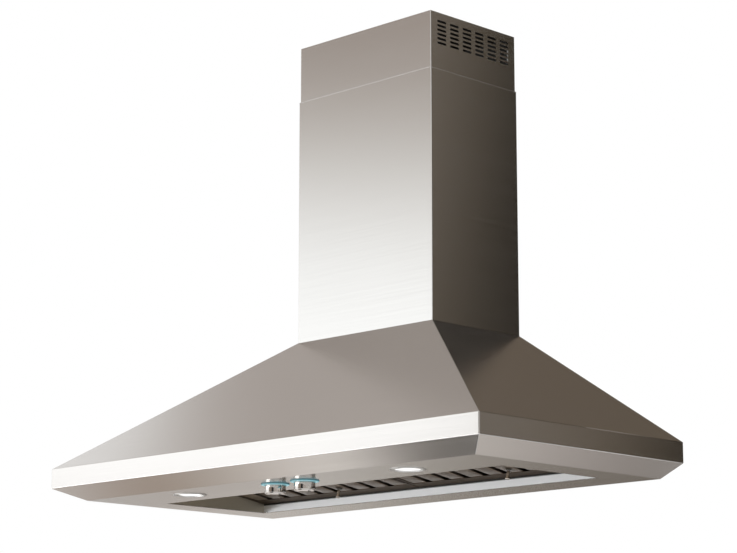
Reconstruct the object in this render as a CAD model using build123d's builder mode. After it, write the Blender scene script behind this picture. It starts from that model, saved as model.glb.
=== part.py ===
"""Wall-mounted chimney range hood with two baffle filters.

Millimetres. The wall is the plane y = 0, the front faces -y, and z points up. The origin is the centre of
the wall bolt pattern on the back panel.
"""

import os
from math import cos, hypot, radians, sin

from build123d import *

# ------------------------------------------------------------------ canopy
hood_width = 1219.0
hood_depth = 590.0
band_height = 41.0
bevel_height = 26.0
bevel_side = 57.0  # how far the bevel runs in at each side
bevel_front = 53.0  # how far it runs in at the front
pyramid_height = 261.0
canopy_sheet = 1.2
canopy_bend = 2.0  # outer radius of the folds
seat_gap = 0.2  # between a panel and the shell that it is welded into

# ------------------------------------------------------------------ wall fixing
wall_bolt_drop = 143.0  # from the canopy's top down to the bolt pattern's centre
wall_bolt_spacing_x = 300.0
wall_bolt_spacing_z = 150.0
wall_bolt_hole = 9.0
mount_plate_sheet = 3.0
mount_plate_margin = 40.0  # plate round the bolt centres
mount_plate_corner = 6.0

# ------------------------------------------------------------------ chimney
chimney_width = 390.0
chimney_depth = 265.0
chimney_sheet = 1.0
chimney_return = 25.0  # rear flange of each cover
lower_cover_height = 528.0
upper_cover_length = 500.0
upper_cover_shown = 122.0  # above the lower cover
telescope_gap = 0.8
upstand_height = 15.0
cover_screw_height = 8.0
cover_screw_spread = 140.0
vent_length = 27.0
vent_height = 5.0
vent_pitch_y = 38.8
vent_pitch_z = 9.3
vent_rows = 6
vent_top = 18.5  # from the upper cover's top to the highest row's centre
vent_margin = 18.0

ceiling_bracket_height = 30.0
ceiling_bracket_drop = 45.0  # from the upper cover's top to the bracket's centre
ceiling_bracket_sheet = 1.5
ceiling_bracket_tab = 22.0
ceiling_screw_spacing_z = 15.0
ceiling_bolt_spacing = 260.0
ceiling_bolt_hole = 7.0

# ------------------------------------------------------------------ underside
front_strip = 156.0
side_strip = 74.5
rear_strip = 97.0
bay_weld_flange = 12.0

# ------------------------------------------------------------------ filters
filter_thickness = 15.0
filter_tilt = 9.0  # degrees, rear edge low
filter_rear_height = 20.0  # rear lower edge above the underside
filter_side_gap = 1.5
filter_rear_gap = 1.5
filter_front_gap = 2.0
filter_middle_gap = 3.0
filter_rail = 26.0  # front and rear members of the frame
filter_least_rail = 8.0  # side members
filter_sheet = 0.8
filter_corner = 2.0
baffle_width = 34.8
baffle_pitch = 52.8
baffle_leg = 6.2
baffle_end_gap = 0.3
ledge_depth = 3.5
ledge_gap = 0.3
bay_above_filter = 8.0
clip_width = 20.0
clip_reach = 10.0
clip_sheet = 0.8
clip_gap = 0.3

pull_offset = baffle_pitch  # right of the filter's centre, on the middle of a baffle
pull_from_rail = 17.0  # between the pull's flange and the rear rail
pull_length = 21.0
pull_flange_radius = 7.0
pull_flange_height = 2.0
pull_neck_radius = 3.2
pull_head_radius = 5.0
pull_head_length = 6.0
pull_head_taper = 12.0  # degrees
stud_radius = 2.5
rivet_radius = 4.0
rivet_height = 1.5
hole_gap = 0.15  # round screws and studs

# ------------------------------------------------------------------ knobs and switches
control_ahead = 11.0  # knobs' line in front of the lamps' line
knob_spacing = 84.0
knob_radius = 21.0
knob_length = 19.0
knob_gap = 1.0  # below the panel
knob_chamfer = 2.0
knob_mark_width = 1.2
knob_mark_depth = 0.6
knob_mark_length = 9.0
knob_bore_depth = 14.0
ring_radius = 29.0
ring_height = 3.0
ring_gap = 1.0  # round the knob
ring_edge = 0.75
spindle_radius = 3.0
spindle_gap = 0.1  # running
spindle_seat = 0.05  # in the knob
spindle_end_gap = 1.0
switch_size = 30.0
switch_corner = 2.0
switch_height = 22.0
switch_bore_depth = 14.0
bushing_radius = 5.0
bushing_gap = 0.3

control_box_length = 200.0
control_box_depth = 84.0
control_box_height = 48.0
control_box_sheet = 0.8
control_box_tab = 14.0
board_length = 160.0
board_depth = 66.0
board_thickness = 1.6
relay_size = (19.0, 15.0, 15.0)
relay_spacing = 50.0

# ------------------------------------------------------------------ lamps
lamp_spacing = 622.0
lens_radius = 30.0
lens_thickness = 2.5
lens_gap = 0.2
lens_edge = 0.5
lamp_lip = 2.0  # how far the bezel reaches under the lens
bezel_flange = 4.0  # how far it reaches beyond its sleeve
bezel_thickness = 1.5
bezel_edge = 0.75
bezel_sleeve = 1.0
bezel_height = 8.0
lamp_hole_gap = 0.3
lamp_cup_gap = 0.3
lamp_cup_wall = 1.2
lamp_cup_height = 34.0
lamp_cup_edge = 2.4
led_board_radius = 22.0
led_board_thickness = 1.6
led_size = 5.0
led_count = 6
led_circle = 14.0

# ------------------------------------------------------------------ blower
blower_width = 160.0  # between the side plates
blower_sheet = 1.0
scroll_radius = 90.0  # first quarter
scroll_growth = 14.0  # more in each further quarter
neck_height = 50.0
blower_flange = 15.0
blower_flange_sheet = 1.5
inlet_radius = 58.5
inlet_wall = 1.5
inlet_flange = 22.0
inlet_flange_sheet = 2.0
inlet_reach = 3.0  # of the sleeve inside the side plate
inlet_screw_margin = 1.0  # between a screw head and the ring's rim
impeller_radius = 72.0
impeller_width = 150.0
blade_count = 32
blade_chord = 12.0
blade_sheet = 1.0
blade_angle = 35.0
rim_width = 2.5
rim_depth = 12.0
hub_radius = 14.0
hub_length = 16.0
shaft_radius = 4.0
shaft_in_motor = 20.0
shaft_gap = 0.1  # running, in the motor
shaft_seat = 0.05  # in the hub
motor_radius = 44.0
motor_hub_gap = 6.0
motor_edge = 5.0
motor_thread = 10.0  # depth of the screw holes in its rear face
bracket_sheet = 3.0
bracket_arm_width = 14.0
bracket_bore = 20.0
capacitor_radius = 15.0
capacitor_length = 50.0
capacitor_drop = 26.0
capacitor_gap = 0.2
capacitor_edge = 1.5
clip_band = 1.0
clip_band_width = 14.0
clip_tab_height = 44.0

# ------------------------------------------------------------------ duct collar
collar_radius = 75.0
collar_wall = 1.2
collar_height = 60.0
collar_flange = 20.0
collar_flange_sheet = 1.5
pin_height = 20.0
pin_radius = 1.5
pin_gap = 0.1  # running
pin_seat = 0.05  # in the collar
flap_gap = 1.2
flap_sheet = 1.0
knuckle_radius = 3.0
knuckle_count = 4
knuckle_gap = 0.6
knuckle_end_gap = 2.5
stop_depth = 6.0
stop_sheet = 1.5
stop_gap = 0.3
stop_seat = 0.05  # in the collar's bore
stop_notch = 12.0  # in the stop ring, where the knuckles pass

# ------------------------------------------------------------------ junction box
gland_x = 150.0
gland_y = -45.0
gland_thread = 10.0  # radius
gland_bore = 5.0
gland_hex = 26.0  # across flats
gland_hex_height = 6.0
gland_dome_radius = 11.0
gland_dome_height = 8.0
gland_dome_edge = 3.0
gland_thread_end = 1.0  # beyond its nut
gland_nut_height = 5.0
gland_gap = 0.1
box_length = 80.0
box_depth = 60.0
box_height = 45.0
box_wall = 2.0
box_corner = 4.0
box_screw_depth = 15.0
box_screw_end_gap = 2.0
box_post = 4.0
box_post_spacing = 66.0
terminal_size = (40.0, 10.0, 18.0)
terminal_ways = 4
terminal_hole = 2.5  # radius

# ------------------------------------------------------------------ screws: shank radius, head radius, height
m3 = (1.5, 2.8, 1.8)
m4 = (2.0, 3.8, 2.4)
m5 = (2.5, 4.6, 3.0)
screw_end = 4.0  # thread beyond the last sheet
screw_tip = 1.0  # the same inside the blower, clear of the impeller

# ------------------------------------------------------------------ levels and places
canopy_top_z = wall_bolt_drop
band_top_z = canopy_top_z - pyramid_height
band_bottom_z = band_top_z - band_height
underside_z = band_bottom_z - bevel_height
panel_top_z = underside_z + canopy_sheet
neck_top_z = canopy_top_z - canopy_sheet
lower_cover_top_z = canopy_top_z + lower_cover_height
upper_cover_top_z = lower_cover_top_z + upper_cover_shown

side_lean = (hood_width - chimney_width) / 2
front_lean = hood_depth - chimney_depth
duct_y = -chimney_depth / 2
lamp_y = -(hood_depth - bevel_front - front_strip / 2)
control_y = lamp_y - control_ahead

bay_half = hood_width / 2 - bevel_side - side_strip
bay_front = -(hood_depth - bevel_front - front_strip)
bay_rear = -rear_strip


def wall_run(lean, height, sheet):
    """Horizontal thickness of a sheet that leans by lean over height."""
    return sheet * hypot(lean, height) / height


def rectangle_to_wall(width, depth, rear=0.0, mode=Mode.ADD):
    """Rectangle centred across the hood, from y = rear towards the front by depth."""
    with Locations((0, rear - depth / 2)):
        Rectangle(width, depth, mode=mode)


def save(builder, name):
    """Name the finished piece and write it."""
    builder.part.label = name
    export_step(builder.part, f"parts/{name}.step")


os.makedirs("parts", exist_ok=True)

# ================================================================== canopy


def canopy_block(sheet, bend):
    """Canopy's outside as a solid, or its inside when sheet is the wall's thickness."""
    crease = sheet / 2  # the folds of the inside lie this much nearer to the band's middle
    under = (
        underside_z,
        bevel_side + wall_run(bevel_side, bevel_height, sheet),
        bevel_front + wall_run(bevel_front, bevel_height, sheet),
    )
    band_low = (band_bottom_z + crease, sheet, sheet)
    band_high = (band_top_z - crease, sheet, sheet)
    top = (
        canopy_top_z,
        side_lean + wall_run(side_lean, pyramid_height, sheet),
        front_lean + wall_run(front_lean, pyramid_height, sheet),
    )
    with BuildPart() as block:
        for lower, upper in ((under, band_low), (band_low, band_high), (band_high, top)):
            for level, side, front in (lower, upper):
                with BuildSketch(Plane.XY.offset(level)):
                    rectangle_to_wall(hood_width - 2 * side, hood_depth - front)
            loft(ruled=True)
        folds = block.edges().filter_by(
            lambda edge: edge.center().Y < -1 and underside_z + 1 < edge.center().Z < canopy_top_z - 1
        )
        fillet(folds, bend)
    return block.part


with BuildPart() as canopy_shell:
    add(canopy_block(0, canopy_bend))
    add(canopy_block(canopy_sheet, canopy_bend - canopy_sheet), mode=Mode.SUBTRACT)
save(canopy_shell, "canopy_shell")

# Back panel: the canopy's outline seen from the wall, inside the shell.
with BuildPart() as canopy_back_panel:
    with BuildSketch(Plane.XZ):
        with BuildLine():
            Polyline(
                (-hood_width / 2 + bevel_side, underside_z),
                (-hood_width / 2, band_bottom_z),
                (-hood_width / 2, band_top_z),
                (-chimney_width / 2, canopy_top_z),
                (chimney_width / 2, canopy_top_z),
                (hood_width / 2, band_top_z),
                (hood_width / 2, band_bottom_z),
                (hood_width / 2 - bevel_side, underside_z),
                close=True,
            )
        make_face()
        offset(amount=-(canopy_sheet + seat_gap), kind=Kind.INTERSECTION)
        with GridLocations(wall_bolt_spacing_x, wall_bolt_spacing_z, 2, 2):
            Circle(wall_bolt_hole / 2, mode=Mode.SUBTRACT)
    extrude(amount=canopy_sheet)
save(canopy_back_panel, "canopy_back_panel")

with BuildPart() as wall_mount_plate:
    with BuildSketch(Plane.XZ.offset(canopy_sheet)):
        RectangleRounded(
            wall_bolt_spacing_x + 2 * mount_plate_margin,
            wall_bolt_spacing_z + 2 * mount_plate_margin,
            mount_plate_corner,
        )
        with GridLocations(wall_bolt_spacing_x, wall_bolt_spacing_z, 2, 2):
            Circle(wall_bolt_hole / 2, mode=Mode.SUBTRACT)
    extrude(amount=mount_plate_sheet)
save(wall_mount_plate, "wall_mount_plate")

# Top plate: closes the canopy, carries the blower and the collar, and its upstand centres the chimney.
top_plate_width = chimney_width - 2 * (wall_run(side_lean, pyramid_height, canopy_sheet) + seat_gap)
top_plate_depth = chimney_depth - wall_run(front_lean, pyramid_height, canopy_sheet) - seat_gap
upstand_rear = -(chimney_sheet + seat_gap)
neck_front_y = duct_y - (scroll_radius + 3 * scroll_growth) / 2
neck_rear_y = neck_front_y + scroll_radius + 3 * scroll_growth
neck_depth = neck_rear_y - neck_front_y
blower_flange_length = blower_width + 2 * (blower_sheet + blower_flange)
blower_flange_depth = neck_depth + 2 * blower_flange
blower_screw_x = blower_flange_length - blower_flange
blower_screw_y = blower_flange_depth - blower_flange
collar_screw_circle = collar_radius + collar_flange / 2
cover_screw_z = canopy_top_z + cover_screw_height

with BuildPart() as canopy_top_plate:
    with BuildSketch(Plane.XY.offset(neck_top_z)):
        rectangle_to_wall(top_plate_width, top_plate_depth)
        with Locations((0, duct_y)):
            Circle(collar_radius - collar_wall, mode=Mode.SUBTRACT)
            with GridLocations(blower_screw_x, blower_screw_y, 2, 2):
                Circle(m5[0] + hole_gap, mode=Mode.SUBTRACT)
            with PolarLocations(collar_screw_circle, 4, start_angle=45):
                Circle(m4[0] + hole_gap, mode=Mode.SUBTRACT)
        with Locations((gland_x, gland_y)):
            Circle(gland_thread + gland_gap, mode=Mode.SUBTRACT)
    extrude(amount=canopy_sheet)
    with BuildSketch(Plane.XY.offset(canopy_top_z)):
        rectangle_to_wall(top_plate_width, top_plate_depth + upstand_rear, upstand_rear)
        rectangle_to_wall(
            top_plate_width - 2 * canopy_sheet,
            top_plate_depth + upstand_rear - 2 * canopy_sheet,
            upstand_rear - canopy_sheet,
            mode=Mode.SUBTRACT,
        )
    extrude(amount=upstand_height)
    with BuildSketch(Plane.YZ):
        with Locations((duct_y, cover_screw_z)):
            with GridLocations(cover_screw_spread, 1, 2, 1):
                Circle(m4[0] + hole_gap)
    extrude(amount=chimney_width, both=True, mode=Mode.SUBTRACT)
save(canopy_top_plate, "canopy_top_plate")

# Underside panel with the recess, the lamp holes and the switch holes.
lamp_hole = lens_radius + lens_gap + bezel_sleeve + lamp_hole_gap
panel_width = hood_width - 2 * (bevel_side + wall_run(bevel_side, bevel_height, canopy_sheet) + seat_gap)
panel_depth = hood_depth - bevel_front - wall_run(bevel_front, bevel_height, canopy_sheet) - seat_gap
control_tab_x = control_box_length + control_box_tab

with BuildPart() as underside_panel:
    with BuildSketch(Plane.XY.offset(underside_z)):
        rectangle_to_wall(panel_width, panel_depth)
        rectangle_to_wall(2 * bay_half, bay_rear - bay_front, bay_rear, mode=Mode.SUBTRACT)
        with Locations((0, lamp_y)):
            with GridLocations(lamp_spacing, 1, 2, 1):
                Circle(lamp_hole, mode=Mode.SUBTRACT)
        with Locations((0, control_y)):
            with GridLocations(knob_spacing, 1, 2, 1):
                Circle(bushing_radius + bushing_gap, mode=Mode.SUBTRACT)
    extrude(amount=canopy_sheet)
save(underside_panel, "underside_panel")

# ================================================================== filters
tilt = radians(filter_tilt)
filter_width = (2 * bay_half - 2 * filter_side_gap - filter_middle_gap) / 2
filter_rear_y = bay_rear - filter_rear_gap - filter_thickness * sin(tilt)
filter_front_y = bay_front + filter_front_gap
filter_length = (filter_rear_y - filter_front_y) / cos(tilt)
filter_rear_z = underside_z + filter_rear_height
filter_front_z = filter_rear_z + filter_length * sin(tilt)
filter_rear_top_z = filter_rear_z + filter_thickness * cos(tilt)
baffle_count = int((filter_width - 2 * filter_least_rail + baffle_pitch - baffle_width) / baffle_pitch)
side_rail = (filter_width - baffle_count * baffle_pitch + baffle_pitch - baffle_width) / 2
baffle_length = filter_length - 2 * (filter_sheet + baffle_end_gap)
pull_from_rear = filter_rail + pull_from_rail + pull_flange_radius


def filter_plane(centre_x, height=0.0):
    """Plane of a filter: x across, y down the slope to the rear edge at 0, z out of its upper side."""
    lower = Plane(
        origin=(centre_x, filter_rear_y, filter_rear_z), x_dir=(1, 0, 0), z_dir=(0, sin(tilt), cos(tilt))
    )
    return lower.offset(height)


def baffle_group(centre_x, count, base, leg_up):
    """Row of channels across a filter, with their legs up or down."""
    low = base if leg_up else base + baffle_leg - filter_sheet
    groove = base + filter_sheet if leg_up else base
    with BuildPart() as baffles:
        with BuildSketch(filter_plane(centre_x, base)):
            with Locations((0, -filter_length / 2)):
                with GridLocations(baffle_pitch, 1, count, 1):
                    Rectangle(baffle_width, baffle_length)
        extrude(amount=baffle_leg)
        with BuildSketch(filter_plane(centre_x, groove)):
            with Locations((0, -filter_length / 2)):
                with GridLocations(baffle_pitch, 1, count, 1):
                    Rectangle(baffle_width - 2 * filter_sheet, baffle_length)
        extrude(amount=baffle_leg - filter_sheet, mode=Mode.SUBTRACT)
        if leg_up:
            with BuildSketch(filter_plane(centre_x, low)):
                with Locations((pull_offset, -pull_from_rear)):
                    Circle(stud_radius + hole_gap)
            extrude(amount=filter_sheet, mode=Mode.SUBTRACT)
    return baffles


def filter_frame(centre_x):
    """Channel frame, open towards the baffles."""
    with BuildPart() as frame:
        with BuildSketch(filter_plane(centre_x)):
            with Locations((0, -filter_length / 2)):
                RectangleRounded(filter_width, filter_length, filter_corner)
                Rectangle(
                    filter_width - 2 * side_rail, filter_length - 2 * filter_rail, mode=Mode.SUBTRACT
                )
        extrude(amount=filter_thickness)
        with BuildSketch(filter_plane(centre_x, filter_sheet)):
            with Locations((0, -filter_length / 2)):
                Rectangle(filter_width - 2 * filter_sheet, filter_length - 2 * filter_sheet)
        extrude(amount=filter_thickness - 2 * filter_sheet, mode=Mode.SUBTRACT)
    return frame


def filter_pull(centre_x):
    """Pull knob turned from bar, riveted over on the upper side of its baffle."""
    with BuildPart() as pull:
        with BuildSketch(filter_plane(centre_x, filter_sheet)):
            with Locations((pull_offset, -pull_from_rear)):
                Circle(pull_flange_radius)
        extrude(amount=-pull_flange_height)
        with BuildSketch(filter_plane(centre_x, filter_sheet)):
            with Locations((pull_offset, -pull_from_rear)):
                Circle(pull_neck_radius)
        extrude(amount=-pull_length)
        with BuildSketch(filter_plane(centre_x, filter_sheet - pull_length)):
            with Locations((pull_offset, -pull_from_rear)):
                Circle(pull_head_radius)
        extrude(amount=pull_head_length, taper=pull_head_taper)
        with BuildSketch(filter_plane(centre_x, filter_sheet)):
            with Locations((pull_offset, -pull_from_rear)):
                Circle(stud_radius)
        extrude(amount=filter_sheet)
        with BuildSketch(filter_plane(centre_x, 2 * filter_sheet)):
            with Locations((pull_offset, -pull_from_rear)):
                Circle(rivet_radius)
        extrude(amount=rivet_height)
    return pull


for side, direction in (("left", -1), ("right", 1)):
    centre = direction * (filter_width + filter_middle_gap) / 2
    upper_base = filter_thickness - filter_sheet - baffle_leg
    save(filter_frame(centre), f"filter_{side}_frame")
    save(baffle_group(centre, baffle_count, filter_sheet, True), f"filter_{side}_lower_baffles")
    save(baffle_group(centre, baffle_count - 1, upper_base, False), f"filter_{side}_upper_baffles")
    save(filter_pull(centre), f"filter_{side}_pull_knob")

# Filter bay: four walls round the recess, a weld flange, and the ledge under the filters' front edges.
bay_rear_top_z = filter_rear_top_z + bay_above_filter
bay_front_top_z = filter_front_z + filter_thickness * cos(tilt) + bay_above_filter
bay_depth = bay_rear - bay_front

with BuildPart() as filter_bay_frame:
    with BuildSketch(Plane.YZ):
        with BuildLine():
            Polyline(
                (bay_rear + canopy_sheet, panel_top_z),
                (bay_rear + canopy_sheet, bay_rear_top_z),
                (bay_front - canopy_sheet, bay_front_top_z),
                (bay_front - canopy_sheet, panel_top_z),
                close=True,
            )
        make_face()
    extrude(amount=bay_half + canopy_sheet, both=True)
    with BuildSketch(Plane.XY.offset(panel_top_z)):
        rectangle_to_wall(
            2 * (bay_half + bay_weld_flange), bay_depth + 2 * bay_weld_flange, bay_rear + bay_weld_flange
        )
    extrude(amount=canopy_sheet)
    with BuildSketch(Plane.XY.offset(panel_top_z)):
        rectangle_to_wall(2 * bay_half, bay_depth, bay_rear)
    extrude(amount=bay_front_top_z - panel_top_z, mode=Mode.SUBTRACT)
    with BuildSketch(Plane.XY.offset(filter_front_z - ledge_gap)):
        rectangle_to_wall(2 * bay_half, ledge_depth, bay_front + ledge_depth)
    extrude(amount=-canopy_sheet)
save(filter_bay_frame, "filter_bay_frame")

# Spring clips on the rear wall, over the filters' rear edges.
clip_z = filter_rear_top_z + clip_gap + clip_reach * sin(tilt) / cos(tilt)
with BuildPart() as filter_clips:
    with BuildSketch(Plane.YZ):
        with BuildLine():
            Polyline(
                (bay_rear, clip_z),
                (bay_rear - clip_reach, clip_z),
                (bay_rear - clip_reach, clip_z + clip_sheet),
                (bay_rear - clip_sheet, clip_z + clip_sheet),
                (bay_rear - clip_sheet, bay_rear_top_z - clip_sheet),
                (bay_rear, bay_rear_top_z - clip_sheet),
                close=True,
            )
        make_face()
    extrude(amount=bay_half, both=True)
    with BuildSketch(Plane.XY.offset(clip_z)):
        rectangle_to_wall(2 * bay_half, clip_reach, bay_rear)
        with Locations((0, bay_rear - clip_reach / 2)):
            with GridLocations(filter_width / 2 + filter_middle_gap / 4, 1, 4, 1):
                Rectangle(clip_width, clip_reach, mode=Mode.SUBTRACT)
    extrude(amount=bay_rear_top_z - clip_z, mode=Mode.SUBTRACT)
save(filter_clips, "filter_clips")

# ================================================================== chimney


def cover_profile(width, depth, rear):
    """Cover's section: front, two sides and the two rear flanges."""
    with BuildSketch() as profile:
        rectangle_to_wall(width, depth, rear)
        rectangle_to_wall(
            width - 2 * chimney_sheet, depth - 2 * chimney_sheet, rear - chimney_sheet, mode=Mode.SUBTRACT
        )
        rectangle_to_wall(width - 2 * chimney_return, chimney_sheet, rear, mode=Mode.SUBTRACT)
        corners = profile.vertices().filter_by(
            lambda corner: corner.Y < rear - depth / 2 and abs(abs(corner.X) - width / 2) < chimney_sheet / 2
        )
        fillet(corners, chimney_sheet)
    return profile.sketch


cover_boss = chimney_width / 2 - chimney_sheet - top_plate_width / 2 - seat_gap / 2

with BuildPart() as chimney_lower_cover:
    with BuildSketch(Plane.XY.offset(canopy_top_z)):
        add(cover_profile(chimney_width, chimney_depth, 0))
    extrude(amount=lower_cover_height)
    for direction in (-1, 1):
        inner_face = Plane.YZ.offset(direction * (chimney_width / 2 - chimney_sheet))
        with BuildSketch(inner_face):
            with Locations((duct_y, cover_screw_z)):
                with GridLocations(cover_screw_spread, 1, 2, 1):
                    Circle(m4[1])
                    Circle(m4[0] + hole_gap, mode=Mode.SUBTRACT)
        extrude(amount=-direction * cover_boss)
save(chimney_lower_cover, "chimney_lower_cover")


def screws_along_x(size, head_x, length, places):
    """Screws whose heads sit at head_x and whose shanks run outwards, mirrored to the other side."""
    with BuildPart() as screws:
        for direction in (-1, 1):
            with BuildSketch(Plane.YZ.offset(direction * head_x)):
                with Locations(*places):
                    Circle(size[1])
            extrude(amount=-direction * size[2])
            with BuildSketch(Plane.YZ.offset(direction * head_x)):
                with Locations(*places):
                    Circle(size[0])
            extrude(amount=direction * length)
    return screws


cover_screw_head_x = top_plate_width / 2 - canopy_sheet
cover_screw_places = [
    (duct_y - cover_screw_spread / 2, cover_screw_z),
    (duct_y + cover_screw_spread / 2, cover_screw_z),
]
cover_screw_length = canopy_sheet + cover_boss
lower_cover_screws = screws_along_x(m4, cover_screw_head_x, cover_screw_length, cover_screw_places)
save(lower_cover_screws, "lower_cover_screws")

# Upper cover: slides inside the lower one, with vent slots high on both sides.
nest = chimney_sheet + telescope_gap
upper_width = chimney_width - 2 * nest
upper_depth = chimney_depth - 2 * nest
upper_bottom_z = upper_cover_top_z - upper_cover_length
vent_columns = int((upper_depth - 2 * vent_margin + vent_pitch_y - vent_length) / vent_pitch_y)
vent_centre_z = upper_cover_top_z - vent_top - (vent_rows - 1) * vent_pitch_z / 2

with BuildPart() as chimney_upper_cover:
    with BuildSketch(Plane.XY.offset(upper_bottom_z)):
        add(cover_profile(upper_width, upper_depth, -nest))
    extrude(amount=upper_cover_length)
    with BuildSketch(Plane.YZ):
        with Locations((duct_y, vent_centre_z)):
            with GridLocations(vent_pitch_y, vent_pitch_z, vent_columns, vent_rows):
                SlotOverall(vent_length, vent_height)
    extrude(amount=chimney_width, both=True, mode=Mode.SUBTRACT)
    bracket_z = upper_cover_top_z - ceiling_bracket_drop
    return_x = upper_width - chimney_return
    with BuildSketch(Plane.XZ.offset(nest)):
        with Locations((0, bracket_z)):
            with GridLocations(return_x, ceiling_screw_spacing_z, 2, 2):
                Circle(m4[0] + hole_gap)
    extrude(amount=chimney_sheet, mode=Mode.SUBTRACT)
save(chimney_upper_cover, "chimney_upper_cover")

# Ceiling bracket: a strap in front of the upper cover's rear flanges, with a tab along each side.
strap_y = nest + chimney_sheet
strap_width = upper_width - 2 * (chimney_sheet + seat_gap)

with BuildPart() as ceiling_bracket:
    with BuildSketch(Plane.XY.offset(bracket_z - ceiling_bracket_height / 2)):
        rectangle_to_wall(strap_width, ceiling_bracket_tab, -strap_y)
        rectangle_to_wall(
            strap_width - 2 * ceiling_bracket_sheet,
            ceiling_bracket_tab - ceiling_bracket_sheet,
            -strap_y - ceiling_bracket_sheet,
            mode=Mode.SUBTRACT,
        )
    extrude(amount=ceiling_bracket_height)
    with BuildSketch(Plane.XZ.offset(strap_y)):
        with Locations((0, bracket_z)):
            with GridLocations(return_x, ceiling_screw_spacing_z, 2, 2):
                Circle(m4[0] + hole_gap)
            with GridLocations(ceiling_bolt_spacing, 1, 2, 1):
                Circle(ceiling_bolt_hole / 2)
    extrude(amount=ceiling_bracket_sheet, mode=Mode.SUBTRACT)
save(ceiling_bracket, "ceiling_bracket")

with BuildPart() as ceiling_bracket_screws:
    with BuildSketch(Plane.XZ.offset(strap_y + ceiling_bracket_sheet)):
        with Locations((0, bracket_z)):
            with GridLocations(return_x, ceiling_screw_spacing_z, 2, 2):
                Circle(m4[1])
    extrude(amount=m4[2])
    with BuildSketch(Plane.XZ.offset(strap_y + ceiling_bracket_sheet)):
        with Locations((0, bracket_z)):
            with GridLocations(return_x, ceiling_screw_spacing_z, 2, 2):
                Circle(m4[0])
    extrude(amount=-(ceiling_bracket_sheet + chimney_sheet))
save(ceiling_bracket_screws, "ceiling_bracket_screws")

# ================================================================== knobs, switches and control box
switch_top_z = panel_top_z + switch_height


def knob(x):
    """Round knob with a chamfered face and a pointer groove, on its spindle's bore."""
    top_z = underside_z - knob_gap
    with BuildPart() as body:
        with BuildSketch(Plane.XY.offset(top_z)):
            with Locations((x, control_y)):
                Circle(knob_radius)
        extrude(amount=-knob_length)
        chamfer(body.edges().group_by(Axis.Z)[0], knob_chamfer)
        with BuildSketch(Plane.XY.offset(top_z - knob_length)):
            with Locations((x, control_y + knob_radius - knob_chamfer - knob_mark_length / 2)):
                Rectangle(knob_mark_width, knob_mark_length)
        extrude(amount=knob_mark_depth, mode=Mode.SUBTRACT)
        with BuildSketch(Plane.XY.offset(top_z)):
            with Locations((x, control_y)):
                Circle(spindle_radius + spindle_seat)
        extrude(amount=-knob_bore_depth, mode=Mode.SUBTRACT)
    return body


def knob_ring(x):
    """Light ring on the panel round the knob's base."""
    with BuildPart() as ring:
        with BuildSketch(Plane.XY.offset(underside_z)):
            with Locations((x, control_y)):
                Circle(ring_radius)
                Circle(knob_radius + ring_gap, mode=Mode.SUBTRACT)
        extrude(amount=-ring_height)
        fillet(ring.edges().group_by(Axis.Z)[0], ring_edge)
    return ring


def spindle(x):
    """Switch spindle, from the knob's bore up into the switch."""
    bottom_z = underside_z - knob_gap - knob_bore_depth
    with BuildPart() as rod:
        with BuildSketch(Plane.XY.offset(bottom_z)):
            with Locations((x, control_y)):
                Circle(spindle_radius)
        extrude(amount=panel_top_z + switch_bore_depth - spindle_end_gap - bottom_z)
    return rod


def rotary_switch(x):
    """Switch body on the panel, with the threaded bushing that passes through it."""
    with BuildPart() as switch:
        with BuildSketch(Plane.XY.offset(panel_top_z)):
            with Locations((x, control_y)):
                RectangleRounded(switch_size, switch_size, switch_corner)
        extrude(amount=switch_height)
        with BuildSketch(Plane.XY.offset(underside_z)):
            with Locations((x, control_y)):
                Circle(bushing_radius)
        extrude(amount=canopy_sheet)
        with BuildSketch(Plane.XY.offset(underside_z)):
            with Locations((x, control_y)):
                Circle(spindle_radius + spindle_gap)
        extrude(amount=canopy_sheet + switch_bore_depth, mode=Mode.SUBTRACT)
    return switch


for use, x in (("light", -knob_spacing / 2), ("fan", knob_spacing / 2)):
    save(knob(x), f"{use}_knob")
    save(knob_ring(x), f"{use}_knob_ring")
    save(spindle(x), f"{use}_spindle")
    save(rotary_switch(x), f"{use}_switch")

with BuildPart() as control_board:
    with BuildSketch(Plane.XY.offset(switch_top_z)):
        with Locations((0, control_y)):
            Rectangle(board_length, board_depth)
    extrude(amount=board_thickness)
    with BuildSketch(Plane.XY.offset(switch_top_z + board_thickness)):
        with Locations((0, control_y)):
            with GridLocations(relay_spacing, board_depth - 2 * relay_size[1], 3, 2):
                Rectangle(relay_size[0], relay_size[1])
    extrude(amount=relay_size[2])
save(control_board, "control_board")

with BuildPart() as control_box:
    with BuildSketch(Plane.XY.offset(panel_top_z)):
        with Locations((0, control_y)):
            Rectangle(control_box_length, control_box_depth)
    extrude(amount=control_box_height)
    with BuildSketch(Plane.XY.offset(panel_top_z)):
        with Locations((0, control_y)):
            Rectangle(control_box_length - 2 * control_box_sheet, control_box_depth - 2 * control_box_sheet)
    extrude(amount=control_box_height - control_box_sheet, mode=Mode.SUBTRACT)
    with BuildSketch(Plane.XY.offset(panel_top_z)):
        with Locations((0, control_y)):
            with GridLocations(control_tab_x, 1, 2, 1):
                Rectangle(control_box_tab, control_box_depth)
                Circle(m4[0] + hole_gap, mode=Mode.SUBTRACT)
    extrude(amount=control_box_sheet)
save(control_box, "control_box")

# ================================================================== lamps


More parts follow.
